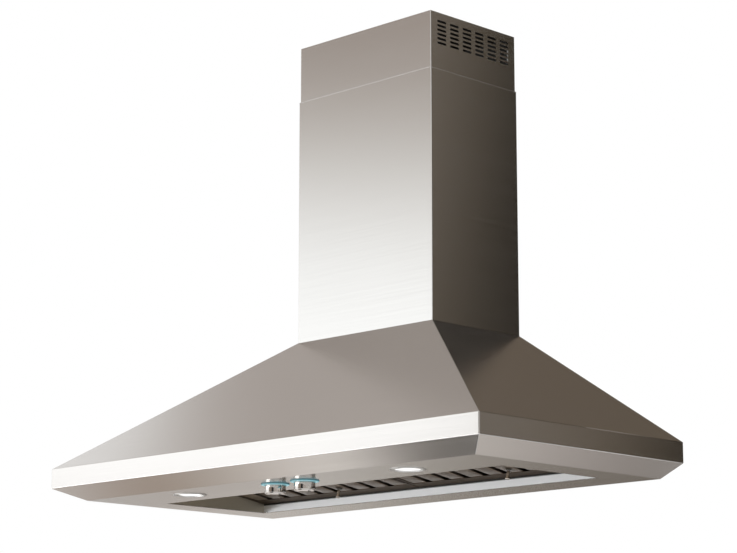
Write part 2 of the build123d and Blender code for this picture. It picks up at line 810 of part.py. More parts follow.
def lamp_bezel(x):
    """Bezel: a thin flange under the panel, a sleeve through it, and the lip that holds the lens."""
    sleeve = lens_radius + lens_gap + bezel_sleeve
    with BuildPart() as bezel:
        with BuildSketch(Plane.XY.offset(underside_z)):
            with Locations((x, lamp_y)):
                Circle(sleeve + bezel_flange)
        extrude(amount=-bezel_thickness)
        chamfer(bezel.edges().group_by(Axis.Z)[0], bezel_edge)
        with BuildSketch(Plane.XY.offset(underside_z)):
            with Locations((x, lamp_y)):
                Circle(sleeve)
        extrude(amount=bezel_height)
        with BuildSketch(Plane.XY.offset(underside_z)):
            with Locations((x, lamp_y)):
                Circle(lens_radius + lens_gap)
        extrude(amount=bezel_height, mode=Mode.SUBTRACT)
        with BuildSketch(Plane.XY.offset(underside_z)):
            with Locations((x, lamp_y)):
                Circle(lens_radius - lamp_lip)
        extrude(amount=-bezel_thickness, mode=Mode.SUBTRACT)
    return bezel


def lamp_lens(x):
    """Diffusing lens on the bezel's lip."""
    with BuildPart() as lens:
        with BuildSketch(Plane.XY.offset(underside_z)):
            with Locations((x, lamp_y)):
                Circle(lens_radius)
        extrude(amount=lens_thickness)
        fillet(lens.edges().group_by(Axis.Z)[0], lens_edge)
    return lens


def lamp_housing(x):
    """Cup over the lamp, standing on the panel."""
    inner = lens_radius + lens_gap + bezel_sleeve + lamp_cup_gap
    with BuildPart() as housing:
        with BuildSketch(Plane.XY.offset(panel_top_z)):
            with Locations((x, lamp_y)):
                Circle(inner + lamp_cup_wall)
        extrude(amount=lamp_cup_height)
        fillet(housing.edges().group_by(Axis.Z)[-1], lamp_cup_edge)
        with BuildSketch(Plane.XY.offset(panel_top_z)):
            with Locations((x, lamp_y)):
                Circle(inner)
        extrude(amount=lamp_cup_height - lamp_cup_wall, mode=Mode.SUBTRACT)
    return housing


for side, x in (("left", -lamp_spacing / 2), ("right", lamp_spacing / 2)):
    save(lamp_bezel(x), f"lamp_{side}_bezel")
    save(lamp_lens(x), f"lamp_{side}_lens")
    save(lamp_housing(x), f"lamp_{side}_housing")

# Round LED boards under the cups' tops, facing the lenses.
led_board_z = panel_top_z + lamp_cup_height - lamp_cup_wall
with BuildPart() as lamp_led_boards:
    with BuildSketch(Plane.XY.offset(led_board_z)):
        with Locations((0, lamp_y)):
            with GridLocations(lamp_spacing, 1, 2, 1):
                Circle(led_board_radius)
    extrude(amount=-led_board_thickness)
    with BuildSketch(Plane.XY.offset(led_board_z - led_board_thickness)):
        with Locations((0, lamp_y)):
            with GridLocations(lamp_spacing, 1, 2, 1):
                with PolarLocations(led_circle, led_count):
                    Rectangle(led_size, led_size)
    extrude(amount=-led_board_thickness)
save(lamp_led_boards, "lamp_led_boards")

# ================================================================== blower
# The scroll's first quarter is struck from the shaft; each further one has its centre moved by the growth.
shaft_y = neck_front_y
shaft_z = neck_top_z - neck_height - scroll_radius
side_x = blower_width / 2
inlet_face_x = side_x + blower_sheet


def scroll_face(margin):
    """Scroll's outline in the y, z plane, from its tongue to its outlet, moved out by margin."""
    second = (shaft_y + scroll_growth, shaft_z)
    third = (shaft_y + scroll_growth, shaft_z + scroll_growth)
    with BuildSketch() as face:
        with BuildLine():
            Line((neck_front_y, neck_top_z), (neck_front_y, shaft_z + scroll_radius))
            CenterArc((shaft_y, shaft_z), scroll_radius, 90, 90)
            CenterArc(second, scroll_radius + scroll_growth, 180, 90)
            CenterArc(third, scroll_radius + 2 * scroll_growth, 270, 90)
            Line((neck_rear_y, third[1]), (neck_rear_y, neck_top_z))
            Line((neck_rear_y, neck_top_z), (neck_front_y, neck_top_z))
        make_face()
        if margin:
            offset(amount=margin, kind=Kind.INTERSECTION)
            with Locations((duct_y, neck_top_z + margin)):
                Rectangle(2 * neck_depth, 2 * margin, mode=Mode.SUBTRACT)
    return face.sketch


with BuildPart() as blower_scroll:
    with BuildSketch(Plane.YZ):
        add(scroll_face(blower_sheet))
        add(scroll_face(0), mode=Mode.SUBTRACT)
    extrude(amount=side_x, both=True)
    with BuildSketch(Plane.XY.offset(neck_top_z)):
        with Locations((0, duct_y)):
            Rectangle(blower_flange_length, blower_flange_depth)
            Rectangle(blower_width + 2 * blower_sheet, neck_depth, mode=Mode.SUBTRACT)
            with GridLocations(blower_screw_x, blower_screw_y, 2, 2):
                Circle(m5[0] + hole_gap, mode=Mode.SUBTRACT)
    extrude(amount=-blower_flange_sheet)
    with BuildSketch(Plane.XY.offset(neck_top_z)):
        with Locations((0, duct_y)):
            with GridLocations(blower_width + blower_sheet, 1, 2, 1):
                Rectangle(blower_sheet, neck_depth + 2 * blower_sheet)
    extrude(amount=-blower_flange_sheet, mode=Mode.SUBTRACT)
save(blower_scroll, "blower_scroll")

inlet_screw_circle = inlet_radius + inlet_flange - m4[1] - inlet_screw_margin
for side, direction in (("left", -1), ("right", 1)):
    with BuildPart() as blower_side:
        with BuildSketch(Plane.YZ.offset(direction * side_x)):
            add(scroll_face(blower_sheet))
            with Locations((shaft_y, shaft_z)):
                Circle(inlet_radius + inlet_wall + seat_gap, mode=Mode.SUBTRACT)
                with PolarLocations(inlet_screw_circle, 3, start_angle=90):
                    Circle(m4[0] + hole_gap, mode=Mode.SUBTRACT)
        extrude(amount=direction * blower_sheet)
    save(blower_side, f"blower_side_{side}")

    with BuildPart() as inlet_ring:
        with BuildSketch(Plane.YZ.offset(direction * inlet_face_x)):
            with Locations((shaft_y, shaft_z)):
                Circle(inlet_radius + inlet_flange)
                Circle(inlet_radius, mode=Mode.SUBTRACT)
                with PolarLocations(inlet_screw_circle, 3, start_angle=90):
                    Circle(m4[0] + hole_gap, mode=Mode.SUBTRACT)
        extrude(amount=direction * inlet_flange_sheet)
        with BuildSketch(Plane.YZ.offset(direction * inlet_face_x)):
            with Locations((shaft_y, shaft_z)):
                Circle(inlet_radius + inlet_wall)
                Circle(inlet_radius, mode=Mode.SUBTRACT)
        extrude(amount=-direction * (blower_sheet + inlet_reach))
    save(inlet_ring, f"inlet_ring_{side}")

# Impeller: a centre disc with a hub, blades on both sides of it, and a rim at each end.
with BuildPart() as impeller:
    with BuildSketch(Plane.YZ):
        with Locations((shaft_y, shaft_z)):
            Circle(impeller_radius)
    extrude(amount=blade_sheet, both=True)
    with BuildSketch(Plane.YZ):
        with Locations((shaft_y, shaft_z)):
            Circle(hub_radius)
    extrude(amount=hub_length / 2, both=True)
    with BuildSketch(Plane.YZ):
        with Locations((shaft_y, shaft_z)):
            with PolarLocations(impeller_radius - rim_depth / 2, blade_count):
                Rectangle(blade_chord, blade_sheet, rotation=blade_angle)
    extrude(amount=impeller_width / 2, both=True)
    for direction in (-1, 1):
        with BuildSketch(Plane.YZ.offset(direction * impeller_width / 2)):
            with Locations((shaft_y, shaft_z)):
                Circle(impeller_radius)
                Circle(impeller_radius - rim_depth, mode=Mode.SUBTRACT)
        extrude(amount=-direction * rim_width)
    with BuildSketch(Plane.YZ):
        with Locations((shaft_y, shaft_z)):
            Circle(shaft_radius + shaft_seat)
    extrude(amount=hub_length, both=True, mode=Mode.SUBTRACT)
save(impeller, "impeller")

# Motor: inside the right half of the impeller, held by a three-armed bracket on the inlet ring.
motor_front_x = hub_length / 2 + motor_hub_gap
bracket_x = inlet_face_x + inlet_flange_sheet
motor_screw_circle = (bracket_bore + motor_radius) / 2

with BuildPart() as motor:
    with BuildSketch(Plane.YZ.offset(motor_front_x)):
        with Locations((shaft_y, shaft_z)):
            Circle(motor_radius)
    extrude(amount=bracket_x - motor_front_x)
    fillet(motor.edges().group_by(Axis.X)[0], motor_edge)
    with BuildSketch(Plane.YZ.offset(motor_front_x)):
        with Locations((shaft_y, shaft_z)):
            Circle(shaft_radius + shaft_gap)
    extrude(amount=shaft_in_motor + shaft_gap, mode=Mode.SUBTRACT)
    with BuildSketch(Plane.YZ.offset(bracket_x)):
        with Locations((shaft_y, shaft_z)):
            with PolarLocations(motor_screw_circle, 3, start_angle=30):
                Circle(m4[0] + hole_gap)
    extrude(amount=-motor_thread, mode=Mode.SUBTRACT)
save(motor, "motor")

with BuildPart() as motor_shaft:
    with BuildSketch(Plane.YZ.offset(motor_front_x + shaft_in_motor)):
        with Locations((shaft_y, shaft_z)):
            Circle(shaft_radius)
    extrude(amount=-(motor_front_x + shaft_in_motor + hub_length / 2))
save(motor_shaft, "motor_shaft")

with BuildPart() as motor_bracket:
    arm_length = inlet_screw_circle + bracket_arm_width / 2 - bracket_bore
    with BuildSketch(Plane.YZ.offset(bracket_x)):
        with Locations((shaft_y, shaft_z)):
            Circle(motor_radius)
            with PolarLocations(bracket_bore + arm_length / 2, 3, start_angle=90):
                Rectangle(arm_length, bracket_arm_width)
            Circle(bracket_bore, mode=Mode.SUBTRACT)
            with PolarLocations(inlet_screw_circle, 3, start_angle=90):
                Circle(m4[0] + hole_gap, mode=Mode.SUBTRACT)
            with PolarLocations(motor_screw_circle, 3, start_angle=30):
                Circle(m4[0] + hole_gap, mode=Mode.SUBTRACT)
    extrude(amount=bracket_sheet)
save(motor_bracket, "motor_bracket")


def inlet_screws(direction, head_x, length, circle, start_angle):
    """Three screws through an inlet ring or the bracket, heads outside."""
    with BuildPart() as screws:
        for radius, amount in ((m4[1], direction * m4[2]), (m4[0], -direction * length)):
            with BuildSketch(Plane.YZ.offset(direction * head_x)):
                with Locations((shaft_y, shaft_z)):
                    with PolarLocations(circle, 3, start_angle=start_angle):
                        Circle(radius)
            extrude(amount=amount)
    return screws


ring_grip = inlet_flange_sheet + blower_sheet + screw_tip
motor_grip = bracket_sheet + motor_thread - screw_tip
bracket_face_x = bracket_x + bracket_sheet

# Capacitor on the left side plate, in a band clip.
capacitor_x = -(inlet_face_x + clip_band + capacitor_radius + capacitor_gap)
capacitor_z = neck_top_z - capacitor_drop

with BuildPart() as capacitor:
    with BuildSketch(Plane.XZ.offset(-duct_y - capacitor_length / 2)):
        with Locations((capacitor_x, capacitor_z)):
            Circle(capacitor_radius)
    extrude(amount=capacitor_length)
    fillet(capacitor.edges().filter_by(GeomType.CIRCLE), capacitor_edge)
save(capacitor, "capacitor")

with BuildPart() as capacitor_clip:
    with BuildSketch(Plane.XZ.offset(-duct_y - clip_band_width / 2)):
        with Locations((capacitor_x, capacitor_z)):
            Circle(capacitor_radius + capacitor_gap + clip_band)
        with Locations((-inlet_face_x - clip_band / 2, capacitor_z)):
            Rectangle(clip_band, clip_tab_height)
        with Locations((capacitor_x, capacitor_z)):
            Circle(capacitor_radius + capacitor_gap, mode=Mode.SUBTRACT)
    extrude(amount=clip_band_width)
save(capacitor_clip, "capacitor_clip")


def screws_down(size, head_z, length, places):
    """Screws with their heads on top of head_z and their shanks down."""
    with BuildPart() as screws:
        for radius, amount in ((size[1], size[2]), (size[0], -length)):
            with BuildSketch(Plane.XY.offset(head_z)):
                with Locations(*places):
                    Circle(radius)
            extrude(amount=amount)
    return screws


def screws_up(size, head_z, length, places):
    """Screws with their heads under head_z and their shanks up."""
    with BuildPart() as screws:
        for radius, amount in ((size[1], -size[2]), (size[0], length)):
            with BuildSketch(Plane.XY.offset(head_z)):
                with Locations(*places):
                    Circle(radius)
            extrude(amount=amount)
    return screws


def four_corners(centre_y, spacing_x, spacing_y):
    """The corners of a rectangle centred across the hood."""
    return [
        (across * spacing_x / 2, centre_y + along * spacing_y / 2) for across in (-1, 1) for along in (-1, 1)
    ]


blower_screw_head_z = neck_top_z - blower_flange_sheet
blower_screw_length = blower_flange_sheet + canopy_sheet + screw_end
blower_screw_places = four_corners(duct_y, blower_screw_x, blower_screw_y)
save(screws_up(m5, blower_screw_head_z, blower_screw_length, blower_screw_places), "blower_screws")

# ================================================================== duct collar and dampers
collar_bore = collar_radius - collar_wall
pin_z = canopy_top_z + pin_height
stop_z = pin_z - flap_sheet / 2 - stop_gap

# The two stops under the flaps are flat half rings, spot-welded into the collar's bore.
with BuildPart() as duct_collar:
    with BuildSketch(Plane.XY.offset(canopy_top_z)):
        with Locations((0, duct_y)):
            Circle(collar_radius + collar_flange)
            with PolarLocations(collar_screw_circle, 4, start_angle=45):
                Circle(m4[0] + hole_gap, mode=Mode.SUBTRACT)
    extrude(amount=collar_flange_sheet)
    with BuildSketch(Plane.XY.offset(canopy_top_z)):
        with Locations((0, duct_y)):
            Circle(collar_radius)
    extrude(amount=collar_height)
    with BuildSketch(Plane.XY.offset(canopy_top_z)):
        with Locations((0, duct_y)):
            Circle(collar_bore)
    extrude(amount=collar_height, mode=Mode.SUBTRACT)
    with BuildSketch(Plane.XY.offset(stop_z)):
        with Locations((0, duct_y)):
            Circle(collar_bore - stop_seat)
            Circle(collar_bore - stop_depth, mode=Mode.SUBTRACT)
            Rectangle(stop_notch, 2 * collar_bore, mode=Mode.SUBTRACT)
    extrude(amount=-stop_sheet)
    with BuildSketch(Plane.XZ.offset(-duct_y)):
        with Locations((0, pin_z)):
            Circle(pin_radius + pin_seat)
    extrude(amount=2 * collar_radius, both=True, mode=Mode.SUBTRACT)
save(duct_collar, "duct_collar")

with BuildPart() as damper_pin:
    with BuildSketch(Plane.XZ.offset(-duct_y)):
        with Locations((0, pin_z)):
            Circle(pin_radius)
    extrude(amount=collar_radius - seat_gap, both=True)
save(damper_pin, "damper_pin")

flap_radius = collar_bore - flap_gap
knuckle_span = 2 * (flap_radius - knuckle_end_gap)
knuckle_length = knuckle_span / knuckle_count


def damper_flap(direction):
    """Half-round flap; its knuckles alternate on the pin with those of the other flap."""
    first = 0 if direction > 0 else 1
    places = [
        (0, duct_y - knuckle_span / 2 + (index + 0.5) * knuckle_length)
        for index in range(first, knuckle_count, 2)
    ]
    with BuildPart() as flap:
        with BuildSketch(Plane.XY.offset(pin_z)):
            with Locations((0, duct_y)):
                Circle(flap_radius)
            with Locations((-direction * flap_radius, duct_y)):
                Rectangle(
                    2 * (flap_radius + knuckle_radius + knuckle_gap), 3 * flap_radius, mode=Mode.SUBTRACT
                )
            with Locations(*places):
                with Locations((direction * knuckle_radius, 0)):
                    Rectangle(2 * knuckle_radius, knuckle_length - knuckle_gap)
        extrude(amount=flap_sheet / 2, both=True)
        for place in places:
            with BuildSketch(Plane.XZ.offset(-place[1])):
                with Locations((0, pin_z)):
                    Circle(knuckle_radius)
            extrude(amount=(knuckle_length - knuckle_gap) / 2, both=True)
        with BuildSketch(Plane.XZ.offset(-duct_y)):
            with Locations((0, pin_z)):
                Circle(pin_radius + pin_gap)
        extrude(amount=2 * flap_radius, both=True, mode=Mode.SUBTRACT)
    return flap


save(damper_flap(-1), "damper_flap_left")
save(damper_flap(1), "damper_flap_right")

collar_screw_places = [
    (
        collar_screw_circle * cos(radians(angle)),
        duct_y + collar_screw_circle * sin(radians(angle)),
    )
    for angle in range(45, 405, 90)
]
collar_screw_head_z = canopy_top_z + collar_flange_sheet
collar_screw_length = collar_flange_sheet + canopy_sheet + screw_end
control_screw_places = [(-control_tab_x / 2, control_y), (control_tab_x / 2, control_y)]
control_screw_head_z = panel_top_z + control_box_sheet

# All M4 pan-head screws: inlet rings, motor bracket, motor, collar and control box.
with BuildPart() as m4_screws:
    add(inlet_screws(-1, bracket_x, ring_grip, inlet_screw_circle, 90).part)
    add(inlet_screws(1, bracket_face_x, bracket_sheet + ring_grip, inlet_screw_circle, 90).part)
    add(inlet_screws(1, bracket_face_x, motor_grip, motor_screw_circle, 30).part)
    add(screws_down(m4, collar_screw_head_z, collar_screw_length, collar_screw_places).part)
    add(screws_down(m4, control_screw_head_z, control_box_sheet, control_screw_places).part)
save(m4_screws, "m4_screws")

# ================================================================== junction box
box_bottom_z = neck_top_z - box_height

with BuildPart() as cable_gland:
    with BuildSketch(Plane.XY.offset(canopy_top_z)):
        with Locations((gland_x, gland_y)):
            RegularPolygon(gland_hex / 2, 6, major_radius=False)
    extrude(amount=gland_hex_height)
    with BuildSketch(Plane.XY.offset(canopy_top_z + gland_hex_height)):
        with Locations((gland_x, gland_y)):
            Circle(gland_dome_radius)
    extrude(amount=gland_dome_height)
    fillet(cable_gland.edges().group_by(Axis.Z)[-1], gland_dome_edge)
    with BuildSketch(Plane.XY.offset(canopy_top_z)):
        with Locations((gland_x, gland_y)):
            Circle(gland_thread)
    extrude(amount=-(canopy_sheet + box_wall + gland_nut_height + gland_thread_end))
    with BuildSketch(Plane.XY.offset(canopy_top_z)):
        with Locations((gland_x, gland_y)):
            Circle(gland_bore)
    extrude(amount=box_height, both=True, mode=Mode.SUBTRACT)
save(cable_gland, "cable_gland")

with BuildPart() as cable_gland_nut:
    with BuildSketch(Plane.XY.offset(neck_top_z - box_wall)):
        with Locations((gland_x, gland_y)):
            RegularPolygon(gland_hex / 2, 6, major_radius=False)
            Circle(gland_thread + gland_gap / 2, mode=Mode.SUBTRACT)
    extrude(amount=-gland_nut_height)
save(cable_gland_nut, "cable_gland_nut")

with BuildPart() as junction_box:
    with BuildSketch(Plane.XY.offset(neck_top_z)):
        with Locations((gland_x, gland_y)):
            RectangleRounded(box_length, box_depth, box_corner)
    extrude(amount=-box_height)
    with BuildSketch(Plane.XY.offset(neck_top_z - box_wall)):
        with Locations((gland_x, gland_y)):
            RectangleRounded(
                box_length - 2 * box_wall, box_depth - 2 * box_wall, box_corner - box_wall
            )
    extrude(amount=-box_height, mode=Mode.SUBTRACT)
    with BuildSketch(Plane.XY.offset(neck_top_z)):
        with Locations((gland_x, gland_y)):
            with GridLocations(box_post_spacing, 1, 2, 1):
                Circle(box_post)
    extrude(amount=-box_height)
    with BuildSketch(Plane.XY.offset(box_bottom_z)):
        with Locations((gland_x, gland_y)):
            with GridLocations(box_post_spacing, 1, 2, 1):
                Circle(m3[0] + hole_gap)
    extrude(amount=box_screw_depth, mode=Mode.SUBTRACT)
    with BuildSketch(Plane.XY.offset(neck_top_z)):
        with Locations((gland_x, gland_y)):
            Circle(gland_thread + gland_gap)
    extrude(amount=-box_wall, mode=Mode.SUBTRACT)
save(junction_box, "junction_box")

with BuildPart() as junction_box_cover:
    with BuildSketch(Plane.XY.offset(box_bottom_z)):
        with Locations((gland_x, gland_y)):
            RectangleRounded(box_length, box_depth, box_corner)
            with GridLocations(box_post_spacing, 1, 2, 1):
                Circle(m3[0] + hole_gap, mode=Mode.SUBTRACT)
    extrude(amount=-box_wall)
save(junction_box_cover, "junction_box_cover")

box_screw_places = [(gland_x - box_post_spacing / 2, gland_y), (gland_x + box_post_spacing / 2, gland_y)]
box_screw_length = box_wall + box_screw_depth - box_screw_end_gap
save(screws_up(m3, box_bottom_z - box_wall, box_screw_length, box_screw_places), "junction_box_screws")

with BuildPart() as terminal_block:
    terminal_y = gland_y + box_depth / 2 - box_wall - terminal_size[1] / 2
    with BuildSketch(Plane.XY.offset(neck_top_z - box_wall)):
        with Locations((gland_x, terminal_y)):
            Rectangle(terminal_size[0], terminal_size[1])
    extrude(amount=-terminal_size[2])
    with BuildSketch(Plane.XY.offset(neck_top_z - box_wall - terminal_size[2])):
        with Locations((gland_x, terminal_y)):
            with GridLocations(terminal_size[0] / terminal_ways, 1, terminal_ways, 1):
                Circle(terminal_hole)
    extrude(amount=terminal_size[2] / 2, mode=Mode.SUBTRACT)
save(terminal_block, "terminal_block")
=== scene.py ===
"""Looks of the wall-mounted chimney range hood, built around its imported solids.

Metres, in the solids' own frame: the wall is the plane y = 0, the front faces -y, and z points up.
"""

import math

import bmesh
import bpy
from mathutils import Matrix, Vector


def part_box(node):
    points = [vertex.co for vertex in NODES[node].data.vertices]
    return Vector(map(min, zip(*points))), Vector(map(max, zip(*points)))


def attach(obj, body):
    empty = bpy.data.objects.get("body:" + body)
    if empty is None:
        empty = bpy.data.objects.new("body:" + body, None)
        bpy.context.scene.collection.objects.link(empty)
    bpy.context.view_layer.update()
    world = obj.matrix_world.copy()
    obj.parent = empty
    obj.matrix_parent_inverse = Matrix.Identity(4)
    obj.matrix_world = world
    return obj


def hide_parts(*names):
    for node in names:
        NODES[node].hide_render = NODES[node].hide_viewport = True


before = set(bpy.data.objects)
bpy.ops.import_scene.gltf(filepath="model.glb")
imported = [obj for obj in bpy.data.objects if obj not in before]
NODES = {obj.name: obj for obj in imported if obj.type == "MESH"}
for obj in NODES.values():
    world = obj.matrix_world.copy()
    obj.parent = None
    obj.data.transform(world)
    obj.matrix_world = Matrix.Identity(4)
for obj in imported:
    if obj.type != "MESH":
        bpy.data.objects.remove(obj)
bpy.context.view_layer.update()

MM = 0.001

RIGHT = (1.0, 0.0, 0.0)
BACK = (0.0, 1.0, 0.0)
UP = (0.0, 0.0, 1.0)
DOWN = (0.0, 0.0, -1.0)

# ------------------------------------------------------------------ studio
WORLD_LEVEL = 0.62  # on diffuse surfaces; the background itself is white
FLOOR_Z = -1.1
FLOOR_SIZE = 14.0
FLOOR_COLOUR = 0.86
MATT = 0.9

SENSOR_WIDTH = 36.0
LENS_LENGTH = 112.66
CAMERA_PLACE = (3.2975, -3.5865, -0.7073)
CAMERA_PITCH = math.radians(101.67)
CAMERA_TURN = math.radians(44.66)

LAMP_TARGET = (0, -0.3, 0.1)

# Heights and edges that the reflector cards share. Their other corners and their light are further down.
SOFTBOX_LOW = -0.9
SOFTBOX_TOP = 2.3
STRIP_LOW = -0.95
STRIP_TOP = -0.40
STRIP_LIGHT = (4.4, 4.45, 4.5)
FLAG_Z = -0.17
CEILING_Z = 2.2
REAR_CARD_Y = 1.5
REAR_SPLIT_Z = -0.05  # between the rear flag and the low card under it
REAR_LOW_Z = -0.85
REAR_RIGHT_X = 3.0
KNOB_CARD_LOW = -0.35
KNOB_CARD_TOP = 0.7


def tree_node(tree, kind, inputs=None, **settings):
    """New shader node with its settings and the values of its own inputs."""
    made = tree.nodes.new(kind)
    for name, value in settings.items():
        setattr(made, name, value)
    for name, value in (inputs or {}).items():
        made.inputs[name].default_value = value
    return made


def grey(level):
    """RGBA of a grey."""
    return (level, level, level, 1.0)


def background_rays(tree):
    """1 for camera, glossy and transmission rays, else 0."""
    path = tree_node(tree, "ShaderNodeLightPath")
    either = tree_node(tree, "ShaderNodeMath", operation="MAXIMUM")
    tree.links.new(path.outputs["Is Camera Ray"], either.inputs[0])
    tree.links.new(path.outputs["Is Glossy Ray"], either.inputs[1])
    total = tree_node(tree, "ShaderNodeMath", operation="MAXIMUM")
    tree.links.new(either.outputs[0], total.inputs[0])
    tree.links.new(path.outputs["Is Transmission Ray"], total.inputs[1])
    return total.outputs[0]


def build_world():
    """White background; the light it gives to diffuse surfaces is lower."""
    world = bpy.data.worlds.new("studio")
    bpy.context.scene.world = world
    world.use_nodes = True
    tree = world.node_tree
    level = tree_node(tree, "ShaderNodeMapRange", {"To Min": WORLD_LEVEL, "To Max": 1.0})
    tree.links.new(background_rays(tree), level.inputs["Value"])
    background = tree.nodes["Background"]
    background.inputs["Color"].default_value = grey(1.0)
    tree.links.new(level.outputs["Result"], background.inputs["Strength"])


def build_camera():
    """The photograph's viewpoint: low, to the right of the hood, looking up a little."""
    data = bpy.data.cameras.new("camera")
    data.sensor_width = SENSOR_WIDTH
    data.lens = LENS_LENGTH
    camera = bpy.data.objects.new("camera", data)
    camera.location = CAMERA_PLACE
    camera.rotation_euler = (CAMERA_PITCH, 0.0, CAMERA_TURN)
    bpy.context.scene.collection.objects.link(camera)
    bpy.context.scene.camera = camera


def area_lamp(name, place, size, power):
    """Soft lamp at the hood that lights diffuse surfaces and stays out of the reflections."""
    data = bpy.data.lights.new(name, "AREA")
    data.shape = "SQUARE"
    data.size = size
    data.energy = power
    lamp = bpy.data.objects.new(name, data)
    lamp.location = place
    lamp.rotation_euler = (Vector(LAMP_TARGET) - Vector(place)).to_track_quat("-Z", "Y").to_euler()
    lamp.visible_glossy = False
    lamp.visible_camera = False
    bpy.context.scene.collection.objects.link(lamp)


def one_sided(tree, shader_output):
    """Show the shader on the front of the faces and nothing on their back."""
    side = tree_node(tree, "ShaderNodeNewGeometry")
    clear = tree_node(tree, "ShaderNodeBsdfTransparent")
    mix = tree_node(tree, "ShaderNodeMixShader")
    tree.links.new(side.outputs["Backfacing"], mix.inputs["Fac"])
    tree.links.new(shader_output, mix.inputs[1])
    tree.links.new(clear.outputs[0], mix.inputs[2])
    tree.links.new(mix.outputs[0], tree.nodes["Material Output"].inputs["Surface"])


def quad(name, corners, material):
    """One rectangle of the stage."""
    mesh = bpy.data.meshes.new(name)
    mesh.from_pydata(corners, [], [(0, 1, 2, 3)])
    mesh.materials.append(material)
    made = bpy.data.objects.new(name, mesh)
    bpy.context.scene.collection.objects.link(made)
    return made


def card(name, corners, along, stops):
    """Reflector that only reflections see, its light given as (place, colour) stops along a direction."""
    material = bpy.data.materials.new(name)
    material.use_nodes = True
    tree = material.node_tree
    tree.nodes.remove(tree.nodes["Principled BSDF"])
    place = tree_node(tree, "ShaderNodeNewGeometry")
    run = tree_node(tree, "ShaderNodeVectorMath", operation="DOT_PRODUCT")
    run.inputs[1].default_value = along
    tree.links.new(place.outputs["Position"], run.inputs[0])
    low = stops[0][0]
    high = stops[-1][0]
    spread = tree_node(tree, "ShaderNodeMapRange", {"From Min": low, "From Max": high})
    tree.links.new(run.outputs["Value"], spread.inputs["Value"])
    ramp = tree_node(tree, "ShaderNodeValToRGB")
    ramp.color_ramp.elements[0].position = 0.0
    ramp.color_ramp.elements[1].position = 1.0
    for at, _ in stops[1:-1]:
        ramp.color_ramp.elements.new((at - low) / (high - low))
    for element, (at, colour) in zip(ramp.color_ramp.elements, stops):
        element.color = (*colour, 1.0)
    tree.links.new(spread.outputs["Result"], ramp.inputs["Fac"])
    light = tree_node(tree, "ShaderNodeEmission")
    tree.links.new(ramp.outputs["Color"], light.inputs["Color"])
    one_sided(tree, light.outputs[0])
    made = quad(name, corners, material)
    made.visible_camera = False
    made.visible_diffuse = False
    made.visible_shadow = False


def level_corners(left, right, front, rear, height):
    """Corners of a level rectangle, which shows from above."""
    return [(left, front, height), (right, front, height), (right, rear, height), (left, rear, height)]


def rear_corners(left, low, top):
    """Corners of a rear card, from its left end to the rear right corner, which shows from the front."""
    return [
        (left, REAR_CARD_Y, low),
        (REAR_RIGHT_X, REAR_CARD_Y, low),
        (REAR_RIGHT_X, REAR_CARD_Y, top),
        (left, REAR_CARD_Y, top),
    ]


def knob_card_corners(start, end):
    """Corners of an upright card between two (x, y) places, which shows from the hood's side."""
    return [
        (*start, KNOB_CARD_LOW),
        (*start, KNOB_CARD_TOP),
        (*end, KNOB_CARD_TOP),
        (*end, KNOB_CARD_LOW),
    ]


def matt_one_sided(name, tone):
    """Matt grey of the stage, clear from behind."""
    material = bpy.data.materials.new(name)
    material.use_nodes = True
    tree = material.node_tree
    shader = tree.nodes["Principled BSDF"]
    shader.inputs["Base Color"].default_value = grey(tone)
    shader.inputs["Roughness"].default_value = MATT
    one_sided(tree, shader.outputs[0])
    return material


def build_floor():
    """Pale floor, seen only from above."""
    material = matt_one_sided("floor", FLOOR_COLOUR)
    half = FLOOR_SIZE / 2
    quad("floor", level_corners(-half, half, -half, half, FLOOR_Z), material)


